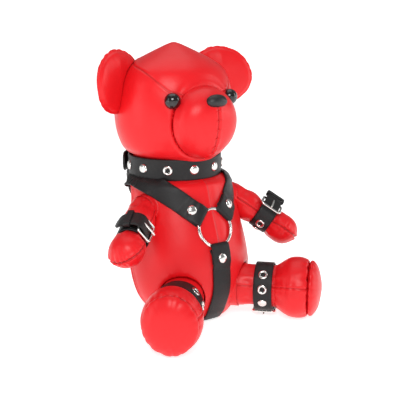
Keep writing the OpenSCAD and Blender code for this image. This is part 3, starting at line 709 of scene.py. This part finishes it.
def build_muzzle_stitches():
    """Short threads laid across the middle seam of the muzzle, from under the nose to the chin."""
    middle = resample(middle_seam(muzzle), 16)
    threads = []
    for p in middle:
        ends = []
        for x in (-2.4, -1.3, 0, 1.3, 2.4):
            hit, normal, _, _ = muzzle_tree.find_nearest(Vector((x, p[1] - 0.5, p[2] + 0.15 * x)))
            ends.append(np.array(list(hit)) + np.array(list(normal)) * (0.36 if abs(x) < 2 else -0.05))
        threads.append(tube(spline(ends, 9), 0.40, 8))
    skin = merge(threads)
    # the stitch threads get no painted seam shade
    skin.seam[:] = 0.0
    put("muzzle_stitches", skin, "head", RED)


build_muzzle_stitches()


def build_ear(side):
    """A puffy cupped half-disc: two faces sewn round the rim, flattened onto the head where they meet it."""
    lo, hi = cad_box("ear_left" if side > 0 else "ear_right")
    radius = (hi[2] - lo[2]) / 2
    outer = max(abs(lo[0]), abs(hi[0]))
    centre = np.array([outer - radius, (lo[1] + hi[1]) / 2 + 3.0, (lo[2] + hi[2]) / 2 - 3.0])
    t = np.linspace(0, 1, 56)
    share = np.sin(t * math.pi / 2)
    m = 200
    a = np.arange(m) * 2 * math.pi / m
    puff_front, puff_back = 6.2, 7.0
    rings = []
    for face, puff in ((-1, puff_front), (1, puff_back)):
        rows = share if face < 0 else share[::-1][1:]
        for s in rows:
            thick = puff * max(0.0, 1 - s**3.2) ** 0.62 + 0.25 * (1 - s)
            e, v = radius * s * np.cos(a), radius * s * np.sin(a) * 0.985
            # cupped: the outer part of the ear curls forward
            curl = (
                -15.5 * (np.clip(e + 10, 0, None) / 36) ** 1.5
                + 0.20 * np.clip(-e, 0, None)
                + 2.0 * (v / radius) ** 2
            )
            rings.append(np.stack([e, curl + face * thick + 0 * e, v], -1))
    skin = Skin(np.array(rings) + centre)
    n = len(share)
    rim = skin.co[(n - 1) * m + np.arange(m)]
    rim = np.vstack([rim, rim[:1]])
    skin.sew(rim, depth=-0.5, width=0.8, lip=-0.6, pucker=0.75, pitch=9, reach=2.8, seed=3 + side, dark=0.3)
    skin.push(0.3 * lumps(skin.co, 26, 20 + side))
    for i, p in enumerate(skin.co):
        hit, normal, _, _ = head_tree.find_nearest(Vector(p))
        gap = (Vector(p) - hit).dot(normal)
        if gap < 0.25:
            skin.co[i] = np.array(list(hit + normal * 0.25))
    if side < 0:
        skin.co = mirrored(skin.co)
        skin.quads, skin.tris = skin.quads[:, ::-1], skin.tris[:, ::-1]
    node = "ear_left" if side > 0 else "ear_right"
    put(node + "_puffed", skin, "head", RED, (node,))


for side in (1, -1):
    build_ear(side)


EYE_TURN = 35  # degrees from the middle of the face round to an eye
NOSE_TILT = 33  # degrees that the nose looks up


def build_face_beads():
    lo, hi = cad_box("eyes")
    r = 6.3
    turn = math.radians(EYE_TURN)
    look = np.array([math.sin(turn), -math.cos(turn), 0])
    beads = []
    for side in (1, -1):
        centre = np.array([hi[0] - r, lo[1] + r, (lo[2] + hi[2]) / 2]) + 0.6 * look
        centre[0] *= side
        z = look * [side, 1, 1]
        x = unit(np.cross([0, 0, 1.0], z))
        a = np.linspace(0, math.pi, 40)
        profile = np.stack([(r + 0.35) * np.sin(a) + 1e-3, -(r + 0.1) * np.cos(a)], -1)
        beads.append(turned(profile, centre, (x, np.cross(z, x), z), 64))
        stem = [(0.01, -8), (1.6, -8), (1.6, -4), (0.01, -4)]
        beads.append(turned(stem, centre, (x, np.cross(z, x), z), 24))
    put("eye_beads", merge(beads), "head", EYE, ("eyes",))
    lo, hi = cad_box("nose")
    tilt = math.radians(NOSE_TILT)
    up = np.array([0, math.sin(tilt), math.cos(tilt)])
    out = np.array([0, -math.cos(tilt), math.sin(tilt)])
    half = (hi[0] - lo[0]) / 2
    ball = half * 0.6
    centre = np.array([0, lo[1] + ball, hi[2] - ball]) - 0.4 * out
    rows = np.linspace(-0.45, math.pi / 2, 30)
    a = np.arange(80) * 2 * math.pi / 80
    c, s = np.cos(a), np.sin(a)
    wide = half * np.sign(c) * np.abs(c) ** 0.9
    tall = np.where(s > 0, ball * 1.05, ball * 0.82) * np.sign(s) * np.abs(s) ** 0.85
    rings = [centre + math.cos(t) * (wide[:, None] * np.array([1.0, 0, 0]) + tall[:, None] * up)
             + 5.4 * math.sin(t) * out for t in rows[:-1]]
    put("nose_button", Skin(np.array(rings)), "head", NOSE, ("nose",))


build_face_beads()


# ---- arms and legs ----

def limb_skin(limb, outline, seam_turn, m, pinch_from=None, squash=1.0):
    """A stuffed limb, with its seam along both sides in one plane, seam_turn degrees from its top."""
    c, s = math.cos(math.radians(seam_turn)), math.sin(math.radians(seam_turn))
    u = c * limb.x + s * limb.y
    v = -s * limb.x + c * limb.y
    a = np.arange(m) * 2 * math.pi / m
    z, r = outline[:, 0, None], outline[:, 1, None]
    end = 0 if pinch_from is None else ease((z - pinch_from) / 10)
    wide = r * (1 + 0.05 * end)
    thick = r * (1 - (1 - squash) * end) * (1 - 0.16 * end * np.abs(np.cos(a)) ** 3)
    p = (
        limb.at
        + (wide * np.cos(a))[..., None] * u
        + (thick * np.sin(a))[..., None] * v
        + (z + 0 * a)[..., None] * limb.dir
    )
    return Skin(p)


def own_z(limb, points):
    return (points - limb.at) @ limb.dir


def narrow(limb, skin, start, share):
    """Draws a limb in sideways beyond the start, by that share of its width."""
    w = (skin.co - limb.at) @ limb.y
    skin.co = skin.co - (share * w * ease((own_z(limb, skin.co) - start) / 12))[:, None] * limb.y


def own_turn(limb, points):
    w = points - limb.at
    return np.arctan2(w @ limb.y, w @ limb.x)


def gathers(skin, limb, at, reach, waves, size, seed):
    """Lengthwise folds that fade away from a tight band."""
    z, turn = own_z(limb, skin.co), own_turn(limb, skin.co)
    fold = np.sin(waves * turn + seed) + 0.5 * np.sin((waves * 2 - 3) * turn + 2 * seed)
    skin.push(size * fold * np.exp(-(((z - at) / reach) ** 2)))


def build_arm(limb):
    length = 68.5
    outline = spline([
        (-12.4, 0), (-11.9, 3.5), (-9, 8.6), (-4, 11.6), (2, 12.3), (7, 12.3), (13, 13.3), (19, 13.0),
        (25, 11.0), (29, 10.1), (39, 10.1), (43, 11.6), (47, 13.6), (52, 14.7), (57, 14.3), (61.5, 12.4),
        (65, 9.0), (67.3, 5.2), (length, 1.4), (length + 0.1, 0),
    ], 120)
    skin = limb_skin(limb, outline, 70, 150, 42, 0.9)
    skin.push(0.35 * lumps(skin.co, 22, 31 + len(limb.side)))
    gathers(skin, limb, 25, 4.5, 7, 0.35, 1.0)
    gathers(skin, limb, 44, 4.0, 8, 0.40, 2.0)
    gathers(skin, limb, 6, 4.0, 6, 0.35, 0.4)
    near, far = skin.row(0), skin.row(75)
    whole = np.vstack([near[20:], far[::-1][:100]])
    tip = whole[near_line(whole, np.array([limb.place(50), limb.place(80)]))[1] > 0]
    skin.sew(whole, depth=0.85, width=0.65, lip=0.3, pucker=0.25, pitch=6, reach=3, seed=1)
    skin.sew(tip, depth=0.7, width=0.8, lip=0.3, pucker=1.5, pitch=5.2, reach=4.5, seed=4)
    obj = put(limb.body + "_stuffed", skin, None, RED)
    limb.place(2) * MM
    limb.place(23) * MM
    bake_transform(obj)
    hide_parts(limb.body + "_skin", limb.body + "_stuffing")


SOLE_AT = 60.0
FOOT_NARROWS = 0.08


def build_leg(limb):
    outline = spline([
        (-19, 0), (-18.2, 5), (-14, 12.8), (-7, 17.6), (1, 18.6), (8, 18.0), (14, 17.9), (30, 17.9),
        (34, 19.6), (38.5, 23.0), (44, 25.8), (50, 26.6), (55, 26.2), (58.5, 24.8), (SOLE_AT, 23.4),
        (SOLE_AT - 0.1, 21.5), (SOLE_AT - 1.2, 19), (SOLE_AT - 1.3, 8), (SOLE_AT - 1.3, 0),
    ], 150)
    skin = limb_skin(limb, outline, 75, 210)
    skin.push(0.35 * lumps(skin.co, 28, 41 + len(limb.side)))
    skin.co[:, 2] = 0.3 + np.logaddexp(0, (skin.co[:, 2] - 0.3) / 0.7) * 0.7
    narrow(limb, skin, 30, FOOT_NARROWS)
    gathers(skin, limb, 33, 5, 9, 0.45, 0.5)
    gathers(skin, limb, 8, 5, 8, 0.3, 1.3)
    a = np.linspace(0, 2 * math.pi, 100)
    ring = 23.6 * (np.cos(a)[:, None] * limb.x + (1 - FOOT_NARROWS) * np.sin(a)[:, None] * limb.y)
    ring = limb.place(SOLE_AT + 0.4) + ring
    skin.sew(ring, depth=0.2, width=0.9, lip=0.2, pucker=1.3, pitch=8.5, reach=4.5, seed=6)
    for column, seed in ((0, 7), (105, 8)):
        skin.sew(skin.row(column)[30:118], depth=0.6, width=0.6, lip=0.3, pucker=0.5, pitch=7, reach=4,
            seed=seed, dark=0.45)
    obj = put(limb.body + "_stuffed", skin, None, RED)
    limb.place(0) * MM
    limb.place(12) * MM
    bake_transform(obj)
    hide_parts(limb.body + "_skin", limb.body + "_stuffing")
    end = 71.0
    low = SOLE_AT + 0.2
    outline = spline([
        (low - 0.8, 0), (low - 0.8, 10), (low - 0.6, 19), (low + 0.2, 21.6), (low + 0.5, 23.2),
        (low + 1.9, 24.4), (low + 4.0, 23.6), (low + 6.2, 21.0), (low + 8.4, 16.5), (end - 0.9, 10.5),
        (end - 0.1, 4), (end, 0),
    ], 80)
    sole = limb_skin(limb, outline, 75, 210)
    sole.push(0.4 * lumps(sole.co, 24, 51 + len(limb.side)))
    narrow(limb, sole, 30, FOOT_NARROWS)
    sole.sew(ring, depth=0.2, width=0.9, lip=0.2, pucker=1.3, pitch=8.5, reach=4.5, seed=6)
    sole.co[:, 2] = np.maximum(sole.co[:, 2], 0.3)
    put(limb.body + "_sole_puffed", sole, limb.body, RED, (limb.body + "_sole",))


for limb in ARMS:
    build_arm(limb)
for limb in LEGS:
    build_leg(limb)


# ---- hardware ----

def rivet(spot, normal, r=4.2):
    """A domed cap with a faint step round its crown."""
    z = unit(normal)
    x = unit(np.cross(z, [0.31, 0.43, 0.85]))
    profile = [
        (0.01, 1.72), (1.2, 1.70), (2.05, 1.60), (2.35, 1.47), (2.6, 1.44), (3.3, 1.12), (3.85, 0.68),
        (r - 0.05, 0.25), (r, 0.02), (r - 0.15, -0.12), (1.3, -0.15), (1.25, -1.2), (0.01, -1.2),
    ]
    return turned(profile[::-1], spot, (x, np.cross(z, x), z), 40)


def eyelet(spot, normal):
    """A rolled metal ring round a hole."""
    z = unit(normal)
    x = unit(np.cross(z, [0.31, 0.43, 0.85]))
    y = np.cross(z, x)
    a = np.linspace(0, 2 * math.pi, 48, endpoint=False)
    b = np.linspace(0, 2 * math.pi, 12, endpoint=False)
    rings = [spot + np.outer(3.0 + 1.05 * np.cos(b), math.cos(t) * x + math.sin(t) * y)
             + np.outer(0.25 + 0.75 * np.sin(b), z)
             for t in a]
    return closed_rings(np.array(rings))


def rounded_loop(points, corner, n=10):
    """A closed path through the corners, each rounded off."""
    p = np.asarray(points, float)
    out = []
    for a, b, c in zip(np.roll(p, 1, 0), p, np.roll(p, -1, 0)):
        start, stop = b + corner * unit(a - b), b + corner * unit(c - b)
        t = np.linspace(0, 1, n)[:, None]
        out.append((1 - t) ** 2 * start + 2 * t * (1 - t) * b + t**2 * stop)
    return np.vstack(out)


KEEPER_AWAY = 14.0


def build_band(band, body, inner, width, tongue, rivets, eyelets, end_kind="straight"):
    """A buckled band: strap, loose end, studs, buckle, prong and keeper."""
    name = band.name
    thick, half, wire = 2.0, width / 2, 1.1
    mid = inner + thick / 2
    turn = np.arange(120) * 3.0
    hoop = band.around(turn, mid)
    strap = ribbon(hoop, unit(hoop - band.centre), half, thick - 0.1, across=band.z, closed=True)
    # heights of the middle of the loose end: over the buckle's bars, and where it still lies on the band
    over = band.bar + wire + 0.2 + 0.9
    out = inner + thick + 0.95
    if end_kind == "hugging":
        path = [band.around(d, r) for d, r in ((20, inner + 1.4), (15, inner + 2.2), (11, out),
                (6, out + 0.15), (1, out + 1.6),
                        (-3.5, over - 0.5), (-7, over))]
        path += [band.around(-d, over) for d in np.linspace(12, math.degrees(tongue / over), 9)]
    else:
        path = [band.around(d, r) for d, r in ((75, inner + 1.1), (60, inner + 1.9), (46, out), (33, out))]
        path += [band.at(x, y) for x, y in ((out - 0.2, 3.4), (out + 1.0, 0.2), (over - 0.5, -3.2),
                (over, -7))]
        if end_kind == "bent":
            path += [band.around(d, r) for d, r in ((-37, 17.9), (-50, 17.3), (-62, 16.9), (-75, 16.4),
                    (-92, 16.1), (-111, 15.9))]
        else:
            path += [band.at(over - 0.010 * (y + 7) ** 2, y) for y in -np.linspace(10, tongue, 7)]
    line = spline(path, 110)
    run = np.r_[0, np.cumsum(np.linalg.norm(np.diff(line, axis=0), axis=1))]
    left = run[-1] - run
    tip = half - 0.4
    taper = np.where(left < tip, np.sqrt(np.clip(tip**2 - (tip - left) ** 2, 0.02, None)), tip)
    rise = unit(np.cross(np.gradient(line, axis=0), band.z))
    rise *= np.sign((rise * (line - band.centre)).sum(1, keepdims=True))
    end = ribbon(line, rise, taper, 1.8, across=band.z)
    put(name + "_band", merge([strap, end]), body, BLACK, (name + "_strap",))

    top = inner + thick - 0.02
    studs = [rivet(band.around(a, top), band.around(a, 1.0) - band.centre) for a in rivets]
    studs += [eyelet(band.around(a, top), band.around(a, 1.0) - band.centre) for a in eyelets]
    put(name + "_stud_caps", merge(studs), body, NICKEL, (name + "_studs",))

    side = half + wire + 0.3
    corners = [band.at(band.bar, y, z) for y, z in ((-HALF_BUCKLE, -side), (HALF_BUCKLE, -side),
            (HALF_BUCKLE, side), (-HALF_BUCKLE, side))]
    frame_wire = tube(rounded_loop(corners, 2.6), wire, 14, closed=True)
    put(name + "_buckle_frame", frame_wire, body, NICKEL, (name + "_buckle",))

    pin = [band.at(band.bar + dx, -HALF_BUCKLE + dy) for dx, dy in
           ((-0.2, -1.95), (1.2, -1.6), (2.05, 0.3), (2.2, 3), (2.2, 7), (2.25, 11), (2.15, 14), (1.9, 16))]
    pin = spline(pin, 40)
    size = np.interp(np.linspace(0, 1, 40), [0, 0.1, 0.8, 0.96, 1], [0.55, 0.95, 0.9, 0.7, 0.25])
    loop_a = np.linspace(0, 2 * math.pi, 28, endpoint=False)
    loop = [band.at(band.bar + 1.55 * math.cos(t), -HALF_BUCKLE + 1.55 * math.sin(t)) for t in loop_a]
    put(name + "_prong_pin", merge([tube(pin, size, 12), tube(loop, 0.42, 10, closed=True)]),
            name + "_prong", NICKEL,
        (name + "_prong",))

    keeper = {"straight": (0.0, -KEEPER_AWAY, over),
            "hugging": (-math.degrees(KEEPER_AWAY / over), 0.0, over),
              "bent": (-62.0, 0.0, 17.1)}[end_kind]
    put(name + "_keeper_loop", tongue_keeper(band, *keeper, half), body, BLACK,
            (name + "_keeper",))


def tongue_keeper(band, turn, shift, over, half):
    """The loop over the loose end, turned round the band or shifted straight out beside the buckle."""
    low, high, wide = over - 1.75, over + 1.75, half + 0.5
    corners = []
    for x, z in ((low, -wide), (high, -wide), (high, wide), (low, wide)):
        a = math.radians(turn)
        corners.append(band.at(x * math.cos(a) - shift * math.sin(a),
                x * math.sin(a) + shift * math.cos(a), z))
    path = rounded_loop(corners, 1.3, 6)
    path = np.vstack([
        resample(np.vstack([a, b]), 6)[:-1]
        for a, b in zip(path, np.roll(path, -1, 0))
        if np.linalg.norm(a - b) > 1e-6
    ])
    a = math.radians(turn)
    along = -band.x * math.sin(a) + band.y * math.cos(a)
    outward = np.cross(np.roll(path, -1, 0) - np.roll(path, 1, 0), along)
    outward *= np.sign((outward * (path - path.mean(0))).sum(1, keepdims=True))
    return ribbon(path, outward, 2.5, 1.2, across=along, closed=True)


COLLAR_RIVETS = [204 + 32 * i for i in (-4, -2, -1, 0, 2, 3)]
COLLAR_EYELETS = [204 + 32 * i for i in (-3, 1)]
build_band(COLLAR, "torso", 39, 18, 34, COLLAR_RIVETS, COLLAR_EYELETS, "hugging")
for limb in ARMS:
    build_band(limb.band, limb.body, 10.5, 16, 27, [200], [100, 150],
            "bent" if limb.side == "right" else "straight")
for limb in LEGS:
    build_band(limb.band, limb.body, 18.5, 16, 30, [60], [98, 134])


# ---- harness ----

class Ring:
    """A harness ring: its centre, its axis out of the torso, and the direction that is up along its face."""

    def __init__(self, name):
        self.name = name
        self.at = joint_at(f"{name}_turn")
        self.out = joint_axis(f"{name}_turn")
        up = np.array([0, 0, 1.0])
        self.up = unit(up - (up @ self.out) * self.out)
        lo, hi = cad_box(name)
        self.mid = (hi[0] - lo[0]) / 2 - WIRE

    def spoke(self, degrees):
        """Direction along the ring's face, turned from up towards the bear's left."""
        a = math.radians(degrees)
        return math.cos(a) * self.up + math.sin(a) * np.array([1.0, 0, 0])


WIRE = 1.4
FRONT, BACK = Ring("front_ring"), Ring("back_ring")
STRAP_HALF, STRAP_THICK = 9.0, 1.7
SHOULDER_TURN = 47  # degrees from straight up to a shoulder strap, seen along a ring's axis


def build_rings():
    for ring in (FRONT, BACK):
        a = np.arange(160) * 2 * math.pi / 160
        path = [ring.at + ring.mid * (math.cos(t) * ring.up + math.sin(t) * np.array([1.0, 0, 0])) for t in a]
        put(ring.name + "_wire", tube(path, WIRE, 20, closed=True), ring.name, NICKEL, (ring.name,))


build_rings()


def surface(point, height):
    """The spot over the torso nearest to a point, at that height, and the torso's normal there."""
    hit, normal, _, _ = bare_tree.find_nearest(Vector(point))
    hit, normal = np.array(list(hit)), np.array(list(normal))
    return hit + height * normal, normal


def fold(ring, degrees):
    """Points and normals of a strap's end, from under its fold, round the ring's wire and out on top."""
    d = ring.spoke(degrees)
    lay = STRAP_THICK / 2 + 0.15
    bend = WIRE + STRAP_THICK / 2 + 0.12
    points, normals = [], []
    for far in (30.5, 26, 22):
        p, n = surface(ring.at + far * d, lay)
        points.append(p)
        normals.append(-n)
    for turn in np.linspace(-90, 90, 9):
        a = math.radians(turn)
        points.append(ring.at + (ring.mid - bend * math.cos(a)) * d + bend * math.sin(a) * ring.out)
        normals.append(unit(-math.cos(a) * d + math.sin(a) * ring.out))
    for far, extra in ((21, 1.25), (25, 1.08), (29, 1.06), (32, 0.6), (35.5, 0.08)):
        p, n = surface(ring.at + far * d, lay + extra * STRAP_THICK)
        if far == 21:
            p = 0.5 * p + 0.5 * (ring.at + far * d + (bend - 0.4) * ring.out)
        points.append(p)
        normals.append(n)
    return points, normals


def strap(start, middle, end):
    """One harness strap from its fold at the front ring to its fold at the back one."""
    (p0, n0), (p1, n1) = fold(*start), fold(*end)
    mid_points, mid_normals = [], []
    for p in middle:
        q, n = surface(p, STRAP_THICK / 2 + 0.2)
        mid_points.append(q)
        mid_normals.append(n)
    points = np.array(p0 + mid_points + p1[::-1])
    normals = np.array(n0 + mid_normals + n1[::-1])
    line = spline(points, 420)
    run = np.r_[0, np.cumsum(np.linalg.norm(np.diff(points, axis=0), axis=1))]
    spaced = run / run[-1] * np.linalg.norm(np.diff(line, axis=0), axis=1).sum()
    where = np.linspace(0, spaced[-1], len(line))
    normal = unit(np.stack([np.interp(where, spaced, normals[:, k]) for k in range(3)], -1))
    tangent = unit(np.gradient(line, axis=0))
    normal = unit(normal - (normal * tangent).sum(1, keepdims=True) * tangent)
    across = unit(np.cross(tangent, normal))
    lift = np.zeros((len(line), len(COLUMNS)))
    folded = min(len(p0) - 4, 12)
    first, last = spaced[folded], spaced[-1] - spaced[folded]
    for i, (p, n) in enumerate(zip(line, normal)):
        calm = ease((where[i] - first) / 14) * ease((last - where[i]) / 14)
        if calm <= 0:
            continue
        base = surface(p, 0)
        height = (p - base[0]) @ base[1]
        for j, c in enumerate(COLUMNS):
            q = p + c * STRAP_HALF * across[i]
            foot, up = surface(q, 0)
            lift[i, j] = np.clip(height - (q - foot) @ up, -2.5, 2.5) * calm
    return ribbon(line, normal, STRAP_HALF, STRAP_THICK, across=across, lift=lift)


def shoulder_path(side):
    """Points round the shoulder, in the plane that slopes up and out through both rings."""
    slope = math.radians(42)
    out = np.array([side * math.cos(slope), 0, math.sin(slope)])
    start = np.array([0, (FRONT.at[1] + BACK.at[1]) / 2, FRONT.at[2]])
    points = []
    for degrees in np.linspace(-42, 42, 15):
        a = math.radians(degrees)
        d = math.cos(a) * out + math.sin(a) * np.array([0, 1.0, 0])
        hit = bare_tree.ray_cast(Vector(start), Vector(d))[0]
        points.append(np.array(list(hit)))
    return points


def belly_path():
    """Points down the belly, under the seat and up the back."""
    points = []
    middle = np.array([0, (torso_lo[1] + torso_hi[1]) / 2 - 6, 34.0])
    for degrees in np.linspace(160, 380, 25):
        a = math.radians(degrees)
        d = np.array([0, math.cos(a), math.sin(a)])
        hit = bare_tree.ray_cast(Vector(middle), Vector(d))[0]
        points.append(np.array(list(hit)))
    return points


def build_harness():
    for side, name in ((1, "left"), (-1, "right")):
        skin = strap((FRONT, side * SHOULDER_TURN), shoulder_path(side), (BACK, side * SHOULDER_TURN))
        put(f"shoulder_strap_{name}_leather", skin, "torso", BLACK,
                (f"shoulder_strap_{name}",))
    skin = strap((FRONT, 180), belly_path(), (BACK, 180))
    skin.co[:, 2] = np.maximum(skin.co[:, 2], 0.02)
    put("belly_strap_leather", skin, "torso", BLACK, ("belly_strap",))
    caps = []
    for ring in (FRONT, BACK):
        for turn in (-SHOULDER_TURN, SHOULDER_TURN, 180):
            spot, normal = surface(ring.at + 26 * ring.spoke(turn),
                    0.15 + STRAP_THICK / 2 + 1.08 * STRAP_THICK + STRAP_THICK / 2 - 0.05)
            caps.append(rivet(spot, normal))
    put("harness_rivet_caps", merge(caps), "torso", NICKEL, ("harness_rivets",))


build_harness()

for node, obj in frame["nodes"].items():
    if "washer" in node:
        for slot_index in range(max(1, len(obj.material_slots))):
            if obj.material_slots:
                obj.material_slots[slot_index].material = WASHER
            else:
                obj.data.materials.append(WASHER)


# ---- studio ----

ROOM, WALL = 7.0, 1.0  # metres from the middle to each wall, and the walls' height


def build_studio():
    floor = plain_material("floor", (0.90, 0.90, 0.90), (0.93, 0.93, 0.93), 0.35, 6, 0.00002)
    glow = floor.node_tree.nodes["Principled BSDF"].inputs
    glow["Emission Color"].default_value = (1, 1, 1, 1)
    glow["Emission Strength"].default_value = 0.74
    mesh = bpy.data.meshes.new("floor")
    corners = [(-ROOM, -ROOM), (ROOM, -ROOM), (ROOM, ROOM), (-ROOM, ROOM)]
    walls = [(k, (k + 1) % 4, (k + 1) % 4 + 4, k + 4) for k in range(4)]
    mesh.from_pydata([(x, y, z) for z in (0, WALL) for x, y in corners], [], [(0, 1, 2, 3)] + walls)
    mesh.materials.append(floor)
    plane = bpy.data.objects.new("floor", mesh)
    bpy.context.scene.collection.objects.link(plane)

    world = bpy.data.worlds.new("studio")
    bpy.context.scene.world = world
    world.use_nodes = True
    world.node_tree.nodes["Background"].inputs["Color"].default_value = (1, 1, 1, 1)
    world.node_tree.nodes["Background"].inputs["Strength"].default_value = 0.28

    target = Vector((0.0, 0.0, 0.11))
    for name, where, size, power in (
        ("key", (-0.55, -0.75, 0.75), (0.45, 0.40), 5.5),
        ("fill", (0.85, -0.55, 0.45), (0.25, 0.7), 2.0),
        ("top", (0.05, 0.15, 1.0), (0.8, 0.8), 2.2),
        ("left", (-0.95, 0.1, 0.35), (0.3, 0.8), 1.2),
    ):
        light = bpy.data.lights.new(name, "AREA")
        light.shape = "RECTANGLE"
        light.size, light.size_y = size
        light.energy = power
        obj = bpy.data.objects.new(name, light)
        obj.location = where
        obj.rotation_mode = "QUATERNION"
        obj.rotation_quaternion = (target - Vector(where)).to_track_quat("-Z", "Y")
        bpy.context.scene.collection.objects.link(obj)


def build_camera():
    turn, rise, distance = math.radians(-36), math.radians(14), 0.70
    back = Vector((math.sin(turn) * math.cos(rise), -math.cos(turn) * math.cos(rise), math.sin(rise)))
    camera = bpy.data.objects.new("camera", bpy.data.cameras.new("camera"))
    camera.data.lens, camera.data.sensor_width = 68.84, 36
    camera.location = Vector((0.0164, -0.0119, 0.092)) + back * distance
    camera.rotation_mode = "QUATERNION"
    camera.rotation_quaternion = (-back).to_track_quat("-Z", "Y")
    bpy.context.scene.collection.objects.link(camera)
    bpy.context.scene.camera = camera


build_studio()
build_camera()
bpy.context.scene.view_settings.view_transform = "Standard"
